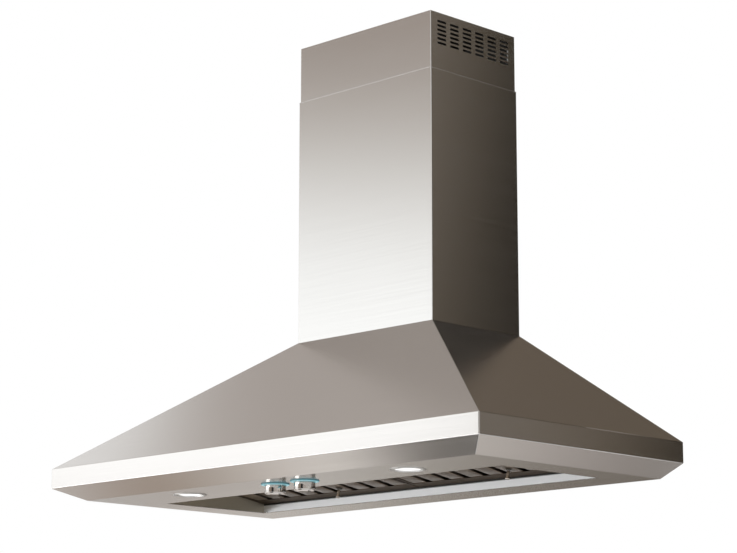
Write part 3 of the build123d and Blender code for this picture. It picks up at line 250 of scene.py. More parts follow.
def build_front_cards():
    """Cards in front and above, which the upright front faces and the sloped front mirror."""
    # Softbox at the front left, 3 m away, brightest in its middle, and warmer and darker above.
    card(
        "softbox_card",
        [
            (-2.8, -1.8, SOFTBOX_TOP),
            (-1.4, -3.2, SOFTBOX_TOP),
            (-1.4, -3.2, SOFTBOX_LOW),
            (-2.8, -1.8, SOFTBOX_LOW),
        ],
        UP,
        [
            (SOFTBOX_LOW, (0.70, 0.69, 0.68)),
            (-0.1, (0.95, 0.94, 0.93)),
            (0.12, (1.5, 1.52, 1.54)),
            (0.75, (1.42, 1.46, 1.47)),
            (1.0, (1.25, 1.28, 1.28)),
            (1.2, (0.94, 0.93, 0.91)),
            (1.4, (0.66, 0.62, 0.58)),
            (1.6, (0.42, 0.37, 0.33)),
            (1.8, (0.36, 0.30, 0.26)),
            (SOFTBOX_TOP, (0.40, 0.34, 0.30)),
        ],
    )
    # Low strip light in front, which brightens the recess's rear wall.
    card(
        "front_strip_card",
        [
            (-2.9, -1.5, STRIP_LOW),
            (-2.9, -1.5, STRIP_TOP),
            (-0.9, -3.2, STRIP_TOP),
            (-0.9, -3.2, STRIP_LOW),
        ],
        UP,
        [(STRIP_LOW, STRIP_LIGHT), (STRIP_TOP, STRIP_LIGHT)],
    )
    # Level flags that hide the strip light from faces seen from above. From below they are clear.
    front_left = (-0.707, -0.707, 0.0)
    flag_stops = [(0.4, (0.54, 0.52, 0.50)), (1.6, (0.68, 0.66, 0.64)), (3.0, (0.92, 0.90, 0.88))]
    card("low_left_flag", level_corners(-3.4, -0.68, -3.6, 0.2, FLAG_Z), front_left, flag_stops)
    card("low_front_flag", level_corners(-0.68, 0.7, -3.6, -0.68, FLAG_Z), front_left, flag_stops)
    # Ceiling, which the sloped front mirrors.
    card(
        "ceiling_card",
        [(-3.2, -3.3, CEILING_Z), (-3.2, 4.0, CEILING_Z), (4.0, 4.0, CEILING_Z), (4.0, -3.3, CEILING_Z)],
        RIGHT,
        [
            (-3.2, (0.47, 0.43, 0.395)),
            (-2.8, (0.44, 0.39, 0.36)),
            (-2.35, (0.47, 0.43, 0.40)),
            (-2.0, (0.53, 0.49, 0.46)),
            (-1.8, (0.49, 0.45, 0.42)),
            (4.0, (0.46, 0.41, 0.38)),
        ],
    )


def build_rear_flag():
    """Dark card behind the wall's plane, a little lighter above, which the right-hand faces mirror."""
    card(
        "rear_flag",
        rear_corners(-1.6, REAR_SPLIT_Z, CEILING_Z),
        (1.0, 0.0, 0.2),
        [
            (-1.46, (0.155, 0.122, 0.096)),
            (0.14, (0.128, 0.103, 0.077)),
            (1.39, (0.0, 0.0, 0.0)),
            (1.79, (0.002, 0.001, 0.0)),
            (1.92, (0.084, 0.065, 0.036)),
            (2.09, (0.185, 0.150, 0.115)),
            (2.24, (0.19, 0.16, 0.13)),
            (2.54, (0.20, 0.175, 0.145)),
            (3.14, (0.16, 0.14, 0.12)),
        ],
    )


def build_knob_cards():
    """Grey and dark cards in front and at the right, which the chrome knobs mirror as bands."""
    card(
        "knob_front_card",
        knob_card_corners((-1.4, -3.2), (1.2, -4.1)),
        RIGHT,
        [
            (-1.4, (0.30, 0.25, 0.21)),
            (0.2, (0.33, 0.28, 0.24)),
            (0.4, (0.03, 0.03, 0.03)),
            (1.2, (0.03, 0.03, 0.03)),
        ],
    )
    card(
        "knob_camera_card",
        knob_card_corners((1.2, -4.1), (3.6, 0.55)),
        BACK,
        [
            (-4.1, (0.03, 0.03, 0.03)),
            (-3.5, (0.05, 0.05, 0.05)),
            (-3.3, (0.46, 0.42, 0.39)),
            (-0.6, (0.60, 0.58, 0.56)),
            (0.0, (0.50, 0.49, 0.48)),
            (0.3, (0.06, 0.05, 0.05)),
            (0.55, (0.10, 0.09, 0.08)),
        ],
    )
    card(
        "knob_right_card",
        knob_card_corners((3.6, 0.55), (REAR_RIGHT_X, REAR_CARD_Y)),
        BACK,
        [(0.55, (0.10, 0.09, 0.08)), (0.9, (0.30, 0.28, 0.26)), (REAR_CARD_Y, (0.12, 0.10, 0.09))],
    )


def build_rear_low_card():
    """Card under the rear flag, bright at the left and dark at the right, which the underside mirrors."""
    card(
        "rear_low_card",
        rear_corners(-3.9, REAR_LOW_Z, REAR_SPLIT_Z),
        (1.0, 0.0, 2.25),
        [
            (-4.4, (0.72, 0.71, 0.70)),
            (-4.15, (0.46, 0.40, 0.365)),
            (-3.9, (0.38, 0.31, 0.27)),
            (-3.72, (0.76, 0.71, 0.68)),
            (-3.5, (0.84, 0.80, 0.77)),
            (-3.25, (0.72, 0.69, 0.66)),
            (-3.0, (0.60, 0.57, 0.53)),
            (-2.8, (0.43, 0.40, 0.36)),
            (-2.5, (0.33, 0.30, 0.27)),
            (-2.2, (0.22, 0.195, 0.17)),
            (-1.8, (0.17, 0.15, 0.13)),
            (1.0, (0.14, 0.12, 0.10)),
        ],
    )


def build_floor_cards():
    """Cards just above the floor, which the two bevels and the baffles mirror."""
    low = FLOOR_Z + 0.01
    card(
        "front_bevel_card",
        level_corners(-2.3, -0.16, -0.8, 0.42, low),
        RIGHT,
        [
            (-2.1, (0.80, 0.78, 0.76)),
            (-1.8, (0.52, 0.46, 0.42)),
            (-1.5, (0.34, 0.26, 0.20)),
            (-1.2, (0.56, 0.51, 0.46)),
            (-0.95, (0.82, 0.77, 0.74)),
            (-0.78, (1.02, 0.99, 0.94)),
            (-0.66, (0.64, 0.60, 0.57)),
            (-0.54, (0.145, 0.13, 0.115)),
            (-0.16, (0.10, 0.095, 0.09)),
        ],
    )
    card(
        "right_bevel_card",
        level_corners(-0.16, 0.6, 0.35, REAR_CARD_Y, low),
        BACK,
        [(0.5, (0.68, 0.64, 0.60)), (0.9, (0.45, 0.41, 0.39)), (1.4, (0.22, 0.20, 0.18))],
    )
    card(
        "baffle_card",
        level_corners(-3.4, -0.16, 0.42, 2.8, low),
        RIGHT,
        [(-3.4, (0.20, 0.18, 0.16)), (-0.16, (0.16, 0.14, 0.12))],
    )


def build_studio():
    """World, camera, floor, lamps and the cards that the steel mirrors."""
    build_world()
    build_camera()
    build_floor()
    area_lamp("key", (-2.4, -3.2, 2.6), 2.2, 95)
    area_lamp("fill", (2.8, -2.2, 1.4), 2.0, 30)
    build_front_cards()
    build_rear_flag()
    build_knob_cards()
    build_rear_low_card()
    build_floor_cards()


# ------------------------------------------------------------------ materials
METAL = 1.0
NOT_METAL = 0.0
NOISE_LOW = 0.3  # noise values mostly lie between these two
NOISE_HIGH = 0.7
ALONG_X = (2.5, 2.5, 420.0)  # streaks level on upright and sloped faces
ALONG_X_FLAT = (2.5, 420.0, 2.5)  # streaks along x on level faces
ALONG_Y_FLAT = (420.0, 2.5, 2.5)  # streaks along y on level faces
EVEN = (500.0, 500.0, 500.0)
CLOUDS = (3.0, 3.0, 3.0)
SPANGLE = (90.0, 90.0, 90.0)
ZINC_GRAIN = (700.0, 700.0, 700.0)

# The Mix node's sockets share their names, so they are taken by their place.
FLOAT_A = 2
FLOAT_B = 3
COLOUR_A = 6
COLOUR_B = 7
MIXED_FLOAT = 0
MIXED_COLOUR = 2

# Colours of the painted shade: a painted shadow line below the filters' rails, and painted shade on the
# recess's side walls, towards the filters' rear and at the pull knobs' flange.
RAIL_PAINTED_SHADOW = (0.02, 0.018, 0.015)
SIDE_WALL_PAINTED_SHADE = (0.46, 0.42, 0.34)
FILTER_REAR_PAINTED_SHADE = (0.03, 0.025, 0.02)
PULL_PAINTED_SHADE = (0.04, 0.035, 0.03)

# Where the painted shade begins and ends, and where the ring's glow, a painted highlight along its lower
# edge, fades out.
RAIL_PAINTED_SHADOW_FROM = 4.5 * MM  # below the filters' rails
RAIL_PAINTED_SHADOW_TO = 2.5 * MM
SIDE_WALL_FROM = 0.4  # by how far a face of the recess turns sideways
SIDE_WALL_TO = 0.8
FILTER_SHADE_FROM_Y = -0.23
FILTER_SHADE_TO_Y = -0.12
PULL_FLANGE = 19 * MM  # above the pull knob's lowest point
PULL_PAINTED_SHADE_HEIGHT = 4 * MM
EDGE_HIGHLIGHT_FROM = 0.4 * MM  # above the ring's lowest point
EDGE_HIGHLIGHT_TO = 1.6 * MM


def new_material(name):
    """Material with its node tree and shader."""
    material = bpy.data.materials.new(name)
    material.use_nodes = True
    return material, material.node_tree, material.node_tree.nodes["Principled BSDF"]


def object_place(tree, scale):
    """Object coordinates, stretched."""
    place = tree_node(tree, "ShaderNodeTexCoord")
    stretch = tree_node(tree, "ShaderNodeMapping", {"Scale": scale})
    tree.links.new(place.outputs["Object"], stretch.inputs["Vector"])
    return stretch.outputs["Vector"]


def noise_field(tree, scale, detail=2.0, roughness=0.5):
    """Noise value over the object, scale being its frequency per metre along x, y and z."""
    field = tree_node(tree, "ShaderNodeTexNoise", {"Scale": 1.0, "Detail": detail, "Roughness": roughness})
    tree.links.new(object_place(tree, scale), field.inputs["Vector"])
    return field.outputs["Fac"]


def mapped(tree, value, low, high, source_low=NOISE_LOW, source_high=NOISE_HIGH):
    """The value spread from its source range to low and high."""
    spread = tree_node(
        tree,
        "ShaderNodeMapRange",
        {"From Min": source_low, "From Max": source_high, "To Min": low, "To Max": high},
    )
    tree.links.new(value, spread.inputs["Value"])
    return spread.outputs["Result"]


def tinted(tree, value, dark, light):
    """Colour between dark and light by the value."""
    ramp = tree_node(tree, "ShaderNodeValToRGB")
    ramp.color_ramp.elements[0].position = NOISE_LOW
    ramp.color_ramp.elements[0].color = (*dark, 1.0)
    ramp.color_ramp.elements[1].position = NOISE_HIGH
    ramp.color_ramp.elements[1].color = (*light, 1.0)
    tree.links.new(value, ramp.inputs["Fac"])
    return ramp.outputs["Color"]


def shaded(colour, factor):
    """The colour made darker or lighter."""
    return tuple(min(1.0, channel * factor) for channel in colour)


def grained(tree, shader, field, colour, tone):
    """Give the shader the colour, made darker and lighter by the tone as the field goes low and high."""
    varied = tinted(tree, field, shaded(colour, 1 - tone), shaded(colour, 1 + tone))
    tree.links.new(varied, shader.inputs["Base Color"])


def bumped(tree, shader, value, strength, distance):
    """Fine relief on the shader's surface."""
    relief = tree_node(tree, "ShaderNodeBump", {"Strength": strength, "Distance": distance})
    tree.links.new(value, relief.inputs["Height"])
    tree.links.new(relief.outputs["Normal"], shader.inputs["Normal"])


def brushed_steel(name, colour, grain, rough=(0.20, 0.25), tone=0.012, relief=0.005):
    """Brushed sheet: streaks along the brushing, in tone, roughness and relief, over a broad cloudiness."""
    material, tree, shader = new_material(name)
    streaks = noise_field(tree, grain, 4.0, 0.6)
    clouds = noise_field(tree, CLOUDS)
    both = tree_node(tree, "ShaderNodeMix", {"Factor": 0.25}, data_type="FLOAT")
    tree.links.new(streaks, both.inputs[FLOAT_A])
    tree.links.new(clouds, both.inputs[FLOAT_B])
    field = both.outputs[MIXED_FLOAT]
    grained(tree, shader, field, colour, tone)
    tree.links.new(mapped(tree, field, rough[1], rough[0]), shader.inputs["Roughness"])
    shader.inputs["Metallic"].default_value = METAL
    bumped(tree, shader, streaks, relief, 0.0004)
    return material


def object_axis(tree, output, axis):
    """One component of a texture-coordinate output, such as Object or Normal."""
    place = tree_node(tree, "ShaderNodeTexCoord")
    split = tree_node(tree, "ShaderNodeSeparateXYZ")
    tree.links.new(place.outputs[output], split.inputs[0])
    return split.outputs[axis]


def darkened(material, factor, dark):
    """Let the base colour go to the dark one as the factor goes to 1."""
    tree = material.node_tree
    shader = tree.nodes["Principled BSDF"]
    base = shader.inputs["Base Color"].links[0].from_socket
    mix = tree_node(tree, "ShaderNodeMix", data_type="RGBA")
    tree.links.new(factor, mix.inputs["Factor"])
    tree.links.new(base, mix.inputs[COLOUR_A])
    mix.inputs[COLOUR_B].default_value = (*dark, 1.0)
    tree.links.new(mix.outputs[MIXED_COLOUR], shader.inputs["Base Color"])


def recess_sheet(name, colour):
    """Sheet of the recess: bright rear wall, side walls darkened by painted shade, and a painted shadow line
    below the rails.
    """
    material = brushed_steel(name, colour, ALONG_X, (0.42, 0.5))
    tree = material.node_tree
    sideways = tree_node(tree, "ShaderNodeMath", operation="ABSOLUTE")
    tree.links.new(object_axis(tree, "Normal", 0), sideways.inputs[0])
    # Painted shadow: the base colour goes nearly black just below the filters' rails.
    rail_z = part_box("filter_left_frame")[0].z
    height = object_axis(tree, "Object", 2)
    darkened(material, mapped(tree, height, 0.0, 0.96, rail_z - RAIL_PAINTED_SHADOW_FROM, rail_z - RAIL_PAINTED_SHADOW_TO), RAIL_PAINTED_SHADOW)
    # Painted shade: faces of the recess that turn sideways are darkened towards an olive brown.
    on_side_wall = mapped(tree, sideways.outputs[0], 0.0, 1.0, SIDE_WALL_FROM, SIDE_WALL_TO)
    darkened(material, on_side_wall, SIDE_WALL_PAINTED_SHADE)
    return material


def filter_sheet(name, colour, grain, edge_level, rear_shade):
    """Brushed sheet of the filters, darkened towards the rear by painted shade, and duller at a low angle.
    """
    material = brushed_steel(name, colour, grain, (0.26, 0.34), 0.06)
    tree = material.node_tree
    tree.nodes["Principled BSDF"].inputs["Specular Tint"].default_value = grey(edge_level)
    # Painted shade: the base colour darkens towards the rear, deeper in the recess.
    depth = object_axis(tree, "Object", 1)
    darkened(material, mapped(tree, depth, 0.0, rear_shade, FILTER_SHADE_FROM_Y, FILTER_SHADE_TO_Y), FILTER_REAR_PAINTED_SHADE)
    return material


def pull_metal(name, colour):
    """Turned bar, darkened at the flange by painted shade."""
    material = speckled(name, colour, METAL, (0.08, 0.14), (900, 300, 300), 0.05, 0.02)
    tree = material.node_tree
    # Painted shade: the base colour darkens near the flange, where the knob meets its filter.
    height = object_axis(tree, "Object", 2)
    flange_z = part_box("filter_left_pull_knob")[0].z + PULL_FLANGE
    darkened(material, mapped(tree, height, 0.0, 0.9, flange_z - PULL_PAINTED_SHADE_HEIGHT, flange_z), PULL_PAINTED_SHADE)
    return material


def glowing_ring(name, colour, glow, strength):
    """Tinted plastic lit from inside, its glow kept to its lower edge as a painted highlight."""
    material = speckled(name, colour, NOT_METAL, (0.15, 0.25), EVEN, 0.05, 0.03)
    tree = material.node_tree
    shader = tree.nodes["Principled BSDF"]
    # Painted highlight: the glow is strongest at the ring's lower edge and fades out above it.
    edge_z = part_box("light_knob_ring")[0].z
    height = object_axis(tree, "Object", 2)
    painted_edge_highlight = mapped(tree, height, strength, 0.0, edge_z + EDGE_HIGHLIGHT_FROM, edge_z + EDGE_HIGHLIGHT_TO)
    tree.links.new(painted_edge_highlight, shader.inputs["Emission Strength"])
    shader.inputs["Emission Color"].default_value = (*glow, 1.0)
    return material


def galvanised(name, colour):
    """Zinc-coated sheet with its spangle."""
    material, tree, shader = new_material(name)
    cells = tree_node(tree, "ShaderNodeTexVoronoi", {"Scale": 1.0, "Randomness": 1.0})
    tree.links.new(object_place(tree, SPANGLE), cells.inputs["Vector"])
    split = tree_node(tree, "ShaderNodeSeparateColor")
    tree.links.new(cells.outputs["Color"], split.inputs[0])
    spangle = split.outputs[0]
    ramp = tree_node(tree, "ShaderNodeValToRGB")
    ramp.color_ramp.elements[0].color = (*shaded(colour, 0.86), 1.0)
    ramp.color_ramp.elements[1].color = (*shaded(colour, 1.12), 1.0)
    tree.links.new(spangle, ramp.inputs["Fac"])
    tree.links.new(ramp.outputs["Color"], shader.inputs["Base Color"])
    tree.links.new(mapped(tree, spangle, 0.34, 0.5, 0.0, 1.0), shader.inputs["Roughness"])
    shader.inputs["Metallic"].default_value = METAL
    bumped(tree, shader, noise_field(tree, ZINC_GRAIN), 0.15, 0.0003)
    return material


def speckled(name, colour, metallic, rough, scale, tone=0.08, relief=0.1, depth=0.0003):
    """Painted, moulded, cast or turned surface: small even grain in tone, roughness and relief."""
    material, tree, shader = new_material(name)
    field = noise_field(tree, scale, 3.0)
    grained(tree, shader, field, colour, tone)
    tree.links.new(mapped(tree, field, rough[0], rough[1]), shader.inputs["Roughness"])
    shader.inputs["Metallic"].default_value = metallic
    bumped(tree, shader, field, relief, depth)
    return material


def lit_lens(name, colour, glow):
    """Frosted lens that glows."""
    material = speckled(name, colour, NOT_METAL, (0.3, 0.45), EVEN, 0.03, 0.1)
    shader = material.node_tree.nodes["Principled BSDF"]
    shader.inputs["Emission Color"].default_value = (*glow, 1.0)
    shader.inputs["Emission Strength"].default_value = 1.0
    return material


# Slot: its colour, metallic, least and most roughness, grain, and how much its tone and relief vary.
SPECKLED = {
    "zinc_screws": ((0.66, 0.66, 0.64), METAL, (0.25, 0.38), EVEN, 0.08, 0.1),
    "knob_chrome": ((0.67, 0.64, 0.61), METAL, (0.04, 0.08), (60, 60, 900), 0.03, 0.02),
    "lamp_metal": ((0.75, 0.75, 0.74), METAL, (0.28, 0.38), EVEN, 0.05, 0.05),
    "motor_paint": ((0.10, 0.105, 0.11), NOT_METAL, (0.4, 0.55), EVEN, 0.15, 0.2),
    "shaft_steel": ((0.58, 0.58, 0.58), METAL, (0.2, 0.3), (40, 40, 900), 0.06, 0.05),
    "black_plastic": ((0.035, 0.035, 0.038), NOT_METAL, (0.45, 0.6), EVEN, 0.2, 0.15),
    "grey_plastic": ((0.42, 0.43, 0.44), NOT_METAL, (0.45, 0.6), EVEN, 0.06, 0.15),
    "circuit_board": ((0.03, 0.16, 0.08), NOT_METAL, (0.25, 0.4), EVEN, 0.2, 0.1),
    "capacitor_can": ((0.75, 0.75, 0.73), NOT_METAL, (0.3, 0.4), EVEN, 0.04, 0.05),
}


def build_materials():
    """One material for each of the record's slots, and a darker copy of the filter steel, painted shade, for
    the filters' rails.
    """
    made = {
        "canopy_steel": brushed_steel("canopy_steel", (0.70, 0.68, 0.66), ALONG_X),
        "chimney_steel": brushed_steel("chimney_steel", (0.70, 0.685, 0.67), ALONG_X),
        "underside_steel": brushed_steel(
            "underside_steel", (0.70, 0.68, 0.65), ALONG_X_FLAT, (0.22, 0.25), 0.006, 0.002
        ),
        "bay_steel": recess_sheet("bay_steel", (0.82, 0.83, 0.84)),
        "baffle_steel": filter_sheet("baffle_steel", (0.55, 0.45, 0.36), ALONG_Y_FLAT, 0.65, 0.7),
        # Darker copy of the filter steel: painted shade on the filters' rails.
        "filter_rails": filter_sheet("filter_rails", (0.24, 0.19, 0.15), ALONG_X_FLAT, 0.35, 0.5),
        "galvanised": galvanised("galvanised", (0.60, 0.62, 0.63)),
        "ring_light": glowing_ring("ring_light", (0.10, 0.26, 0.31), (0.22, 0.55, 0.62), 0.55),
        "lens": lit_lens("lens", (0.92, 0.92, 0.90), (1.0, 0.99, 0.96)),
        "pull_metal": pull_metal("pull_metal", (0.70, 0.66, 0.60)),
    }
    for name, look in SPECKLED.items():
        made[name] = speckled(name, *look)
    return made


def dress_solids(materials):
    """Give every node its slot's material."""
    for node in NODES.values():
        for place in node.material_slots:
            place.material = materials[place.material.name.split(".")[0]]
    # The rails take the darker copy of the filter steel, which paints shade on them.
    for name in ("filter_left_frame", "filter_right_frame"):
        NODES[name].material_slots[0].material = materials["filter_rails"]


# ------------------------------------------------------------------ pieces made from profiles
SHARP = math.radians(32)  # edges over this angle stay sharp
CORNER_SHARE = 0.45  # most of an edge that rounding its corner may take
ON_AXIS = 1e-7  # a ring of a smaller radius is one point


def softened(points, cut, steps=4, closed=False):
    """The 2-D outline with each corner rounded off from the given distance before it."""
    rounded = []
    for place, corner in enumerate(points):
        corner = Vector(corner)
        if not closed and place in (0, len(points) - 1):
            rounded.append(corner)
            continue
        before = Vector(points[place - 1]) - corner
        after = Vector(points[(place + 1) % len(points)]) - corner
        start = corner + before.normalized() * min(cut, CORNER_SHARE * before.length)
        end = corner + after.normalized() * min(cut, CORNER_SHARE * after.length)
        for step in range(steps + 1):
            share = step / steps
            rounded.append(start * (1 - share) ** 2 + corner * (2 * share * (1 - share)) + end * share**2)
    return rounded


def piece_from(shape, name, slot, body, nodes=()):
    """Piece from the bmesh, in its slot's material, riding on the body and standing for the nodes."""
    bmesh.ops.recalc_face_normals(shape, faces=shape.faces)
    mesh = bpy.data.meshes.new(name)
    shape.to_mesh(mesh)
    shape.free()
    mesh.shade_smooth()
    mesh.set_sharp_from_angle(angle=SHARP)
    mesh.materials.append(MATERIALS[slot])
    piece = bpy.data.objects.new(name, mesh)
    bpy.context.scene.collection.objects.link(piece)
    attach(piece, body)
    if nodes:
        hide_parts(*nodes)


def join_rings(shape, rings, closed_run):
    """Faces between each ring of vertices and the next."""
    pairs = list(zip(rings, rings[1:]))
    if closed_run:
        pairs.append((rings[-1], rings[0]))
    for low, high in pairs:
        for step in range(len(low)):
            after = (step + 1) % len(low)
            corners = [low[step], low[after], high[after], high[step]]
            shape.faces.new(list(dict.fromkeys(corners)))


def turned(profile, centre, axis, closed=False, segments=96):
    """Bmesh of the (radius, height) profile, in metres, turned round the axis that starts at the centre."""
    axis = Vector(axis).normalized()
    side = axis.orthogonal().normalized()
    other = axis.cross(side)
    shape = bmesh.new()
    rings = []
    for radius, height in profile:
        foot = Vector(centre) + axis * height
        if radius < ON_AXIS:
            rings.append([shape.verts.new(foot)] * segments)
            continue
        ring = []
        for step in range(segments):
            turn = 2 * math.pi * step / segments
            ring.append(shape.verts.new(foot + (side * math.cos(turn) + other * math.sin(turn)) * radius))
        rings.append(ring)
    join_rings(shape, rings, closed)
    return shape


def drawn(shape, outline, start, run, across, up):
    """Add the closed 2-D outline, set along across and up, drawn from the start along the run."""
    ends = []
    for foot in (Vector(start), Vector(start) + Vector(run)):
        ends.append([shape.verts.new(foot + Vector(across) * a + Vector(up) * b) for a, b in outline])
    join_rings(shape, ends, False)
    shape.faces.new(ends[0])
    shape.faces.new(list(reversed(ends[1])))


def in_mm(points):
    """2-D points in mm as metres."""
    return [(a * MM, b * MM) for a, b in points]


def middle(node):
    """Middle of the node's box."""
    low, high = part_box(node)
    return (low + high) / 2


# Profiles and loops are lists of (radius, height) points. They and the sizes in them are in mm.

# ------------------------------------------------------------------ knobs and their rings
KNOB_CHAMFER = 2.0
KNOB_GROOVE_DEPTH = 0.6
KNOB_SOFTENING = 0.3
POINTER_LENGTH = 9.0
POINTER_HALF_WIDTH = 0.6
POINTER_DEPTH = 1.4
POINTER_TO_EDGE = 2.6  # from the pointer's end to the knob's side
RING_WIDTH = 7.0
RING_SOFTENING = 0.6


def build_knob(use):
    """Chrome knob: dished face, chamfer, straight side with a fine groove near its base, and its pointer."""
    node = f"{use}_knob"
    low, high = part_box(node)
    centre = middle(node)
    radius = (high.x - low.x) / 2 / MM
    length = (high.z - low.z) / MM
    profile = [
        (0, 0.9),
        (0.55 * radius, 0.6),
        (0.86 * radius, 0.12),
        (radius - KNOB_CHAMFER, 0),
        (radius, KNOB_CHAMFER),
        (radius, length - 3.4),
        (radius - KNOB_GROOVE_DEPTH, length - 3.0),
        (radius - KNOB_GROOVE_DEPTH, length - 1.7),
        (radius, length - 1.3),
        (radius, length),
        (0, length),
    ]
    face = (centre.x, centre.y, low.z)
    body = f"{use}_control"
    shape = turned(softened(in_mm(profile), KNOB_SOFTENING * MM), face, UP)
    piece_from(shape, f"{use}_knob_turned", "knob_chrome", body, [node])
    half = POINTER_HALF_WIDTH
    reach = POINTER_LENGTH / 2
    outline = softened([(-half, -reach), (half, -reach), (half, reach), (-half, reach)], 0.5, closed=True)
    shape = bmesh.new()
    start = (centre.x, centre.y + (radius - POINTER_TO_EDGE - reach) * MM, low.z)
    drawn(shape, in_mm(outline), start, (0, 0, POINTER_DEPTH * MM), RIGHT, BACK)
    piece_from(shape, f"{use}_knob_pointer", "black_plastic", body)


def build_ring(use):
    """Light ring round the knob, its lower edges rounded."""
    node = f"{use}_knob_ring"
    low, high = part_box(node)
    centre = middle(node)
    outer = (high.x - low.x) / 2 / MM
    inner = outer - RING_WIDTH
    depth = (high.z - low.z) / MM
    loop = [
        (inner, 0),
        (inner, depth - 0.6),
        (inner + 1.0, depth),
        (outer - 2.2, depth),
        (outer - 0.5, depth - 0.9),
        (outer, 0),
    ]
    foot = (centre.x, centre.y, high.z)
    shape = turned(softened(in_mm(loop), RING_SOFTENING * MM, closed=True), foot, DOWN, closed=True)
    piece_from(shape, f"{use}_ring_turned", "ring_light", "canopy", [node])


# ------------------------------------------------------------------ lamps
BEZEL_SLEEVE_INSET = 4.0
LENS_RECESS = 1.2
LENS_RING_PITCH = 1.5
LENS_RING_HEIGHT = 0.12
LENS_RINGS = 17


def build_lamp(side):
    """Lamp's turned bezel, with its lip, inner cone and sleeve, and its lens, recessed, with fine rings."""
    bezel = f"lamp_{side}_bezel"
    lens = f"lamp_{side}_lens"
    low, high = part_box(bezel)
    centre = middle(bezel)
    rim = (high.x - low.x) / 2 / MM
    lens_low, lens_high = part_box(lens)
    panel_z = lens_low.z
    lip = (panel_z - low.z) / MM
    height = (high.z - panel_z) / MM
    sleeve = rim - BEZEL_SLEEVE_INSET
    loop = [
        (27.0, 1.5),
        (26.7, 1.35),
        (28.0, -0.1),
        (28.0, -lip + 0.5),
        (28.8, -lip),
        (rim - 1.4, -lip),
        (rim, -lip + 0.9),
        (rim, 0),
        (sleeve, 0),
        (sleeve, height),
        (sleeve - 1.0, height),
        (sleeve - 1.0, 0.05),
        (28.5, 0.05),
    ]
    foot = (centre.x, centre.y, panel_z)
    shape = turned(softened(in_mm(loop), 0.3 * MM, 3, closed=True), foot, UP, closed=True, segments=128)
    piece_from(shape, f"{bezel}_turned", "lamp_metal", "canopy", [bezel])
    lens_radius = (lens_high.x - lens_low.x) / 2 / MM
    top = (lens_high.z - lens_low.z) / MM
    profile = [(0, LENS_RECESS)]
    for step in range(1, LENS_RINGS + 1):
        profile.append((LENS_RING_PITCH * step, LENS_RECESS + 0.01 * step + LENS_RING_HEIGHT * (step % 2)))
    profile += [(27.2, 1.55), (lens_radius, 1.65), (lens_radius, top), (0, top)]
    piece_from(turned(in_mm(profile), foot, UP), f"{lens}_moulded", "lens", "canopy", [lens])


# ------------------------------------------------------------------ filters
FILTER_TILT = math.radians(9)
FILTER_SLOPE = Vector((0.0, math.cos(FILTER_TILT), -math.sin(FILTER_TILT)))  # along the baffles, to the rear
FILTER_UP = Vector((0.0, math.sin(FILTER_TILT), math.cos(FILTER_TILT)))
LOWER_BAFFLES = 9
UPPER_BAFFLES = 8
BAFFLE_WIDTH = 34.8 * MM
BAFFLE_LEG = 6.2 * MM
BAFFLE_SHEET = 0.8 * MM
BAFFLE_BEND = 1.5 * MM
TIP_REACH = 0.05 * MM  # vertices this near a pull knob's lowest one are its tip


def reach_along(node, direction):
    """Lowest and highest place of the node's vertices along the direction."""
    places = [vertex.co.dot(direction) for vertex in NODES[node].data.vertices]
    return min(places), max(places)


def channel_outline(leg_up):
    """Outline of a baffle's bent sheet, with its legs up or down from the middle of its level."""
    half = BAFFLE_WIDTH / 2
    inner = half - BAFFLE_SHEET
    sign = 1 if leg_up else -1
    leg = BAFFLE_LEG * sign
    sheet = BAFFLE_SHEET * sign
    outer = [(-half, leg), (-half, 0), (half, 0), (half, leg)]
    lining = [(inner, leg), (inner, sheet), (-inner, sheet), (-inner, leg)]
    return softened(outer, BAFFLE_BEND, 5) + softened(lining, BAFFLE_BEND - BAFFLE_SHEET, 5)


def build_baffles(side, level, count):
    """One level of a filter's baffles: the lower ones have their legs up, the upper ones down."""
    node = f"filter_{side}_{level}_baffles"
    low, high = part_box(node)
    near, far = reach_along(node, FILTER_SLOPE)
    bottom, top = reach_along(node, FILTER_UP)
    legs_up = level == "lower"
    floor = bottom if legs_up else top
    outline = channel_outline(legs_up)
    pitch = (high.x - low.x - BAFFLE_WIDTH) / (count - 1)
    shape = bmesh.new()
    for place in range(count):
        x = low.x + BAFFLE_WIDTH / 2 + place * pitch
        start = Vector((x, 0, 0)) + FILTER_SLOPE * near + FILTER_UP * floor
        drawn(shape, outline, start, FILTER_SLOPE * (far - near), RIGHT, FILTER_UP)
    piece_from(shape, f"{node}_bent", "baffle_steel", f"{side}_filter", [node])


def build_pull(side):
    """Turned pull knob: domed head, tapered neck and flange, riveted over above its baffle."""
    node = f"filter_{side}_pull_knob"
    bottom = reach_along(node, FILTER_UP)[0]
    tip = [v.co for v in NODES[node].data.vertices if v.co.dot(FILTER_UP) - bottom < TIP_REACH]
    centre = sum(tip, Vector()) / len(tip)
    profile = [
        (0, 0),
        (4.0, 0.15),
        (5.0, 1.0),
        (5.0, 2.0),
        (3.8, 6.0),
        (3.2, 7.5),
        (3.2, 17.5),
        (3.8, 18.6),
        (6.4, 19.1),
        (7.0, 19.6),
        (7.0, 21.0),
        (2.5, 21.0),
        (2.5, 21.8),
        (4.0, 21.8),
        (4.0, 22.9),
        (3.2, 23.3),
        (0, 23.3),
    ]
    shape = turned(softened(in_mm(profile), 0.5 * MM, 3), centre, FILTER_UP, segments=64)
    piece_from(shape, f"{node}_turned", "pull_metal", f"{side}_filter", [node])


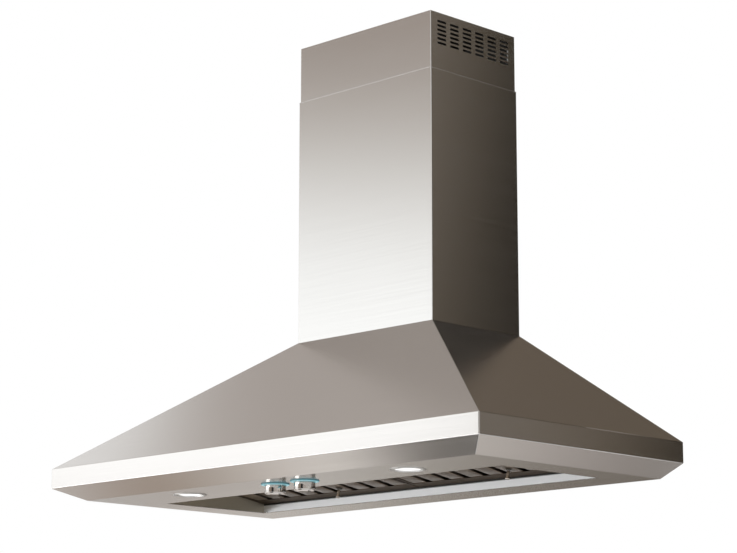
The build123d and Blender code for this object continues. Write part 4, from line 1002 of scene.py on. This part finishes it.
# ------------------------------------------------------------------ lower cover's rolled edge
def build_cover_rim():
    """Rolled edge round the top of the lower chimney cover, a hair proud of its sheet."""
    low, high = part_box("chimney_lower_cover")
    # The section's points are (outward, upward) in mm, and the corners are places with their outward signs.
    section = [(0.55, 0.0), (0.35, -0.6), (-0.1, -0.9), (-0.7, -0.6), (-0.7, 0.1), (-0.1, 0.35), (0.35, 0.3)]
    corners = [
        ((low.x, high.y), (-1, 0)),
        ((low.x, low.y), (-1, -1)),
        ((high.x, low.y), (1, -1)),
        ((high.x, high.y), (1, 0)),
    ]
    shape = bmesh.new()
    rings = []
    for (x, y), (out_x, out_y) in corners:
        ring = []
        for out, rise in in_mm(softened(section, 0.2, 3, closed=True)):
            ring.append(shape.verts.new((x + out_x * out, y + out_y * out, high.z + rise)))
        rings.append(ring)
    join_rings(shape, rings, False)
    shape.faces.new(rings[0])
    shape.faces.new(list(reversed(rings[-1])))
    piece_from(shape, "cover_rim", "chimney_steel", "canopy")


# ------------------------------------------------------------------ wall and ceiling behind the vents
# Near-black colour of the wall and ceiling behind the vents: painted shade.
PATCH_PAINTED_SHADE = 0.02
PATCH_INSET = 0.9 * MM  # keeps the patches just inside the cover's sheet


def painted_shade_patch(name, corners):
    """Near-black bit of wall or ceiling inside the chimney, its colour painted shade, seen from the
    chimney's side only.
    """
    patch = quad(name, corners, matt_one_sided(name, PATCH_PAINTED_SHADE))
    patch.visible_shadow = False
    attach(patch, "upper_chimney")


def build_chimney_backing():
    """What closes the upper cover behind and above: wall and ceiling whose near-black colour paints shade
    into the vents.
    """
    low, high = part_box("chimney_upper_cover")
    left = low.x + PATCH_INSET
    right = high.x - PATCH_INSET
    front = low.y + PATCH_INSET
    rear = high.y - PATCH_INSET
    foot = low.z
    top = high.z - PATCH_INSET
    wall = [(left, rear, foot), (right, rear, foot), (right, rear, top), (left, rear, top)]
    painted_shade_patch("chimney_wall_patch", wall)
    ceiling = [(left, rear, top), (right, rear, top), (right, front, top), (left, front, top)]
    painted_shade_patch("chimney_ceiling_patch", ceiling)


def build_pieces():
    """Detailed pieces that stand for nodes or lie on them."""
    for use in ("light", "fan"):
        build_knob(use)
        build_ring(use)
    for side in ("left", "right"):
        build_lamp(side)
        build_baffles(side, "lower", LOWER_BAFFLES)
        build_baffles(side, "upper", UPPER_BAFFLES)
        build_pull(side)
    build_cover_rim()
    build_chimney_backing()


MATERIALS = build_materials()
build_studio()
dress_solids(MATERIALS)
build_pieces()

view_settings = bpy.context.scene.view_settings
view_settings.view_transform = "Standard"
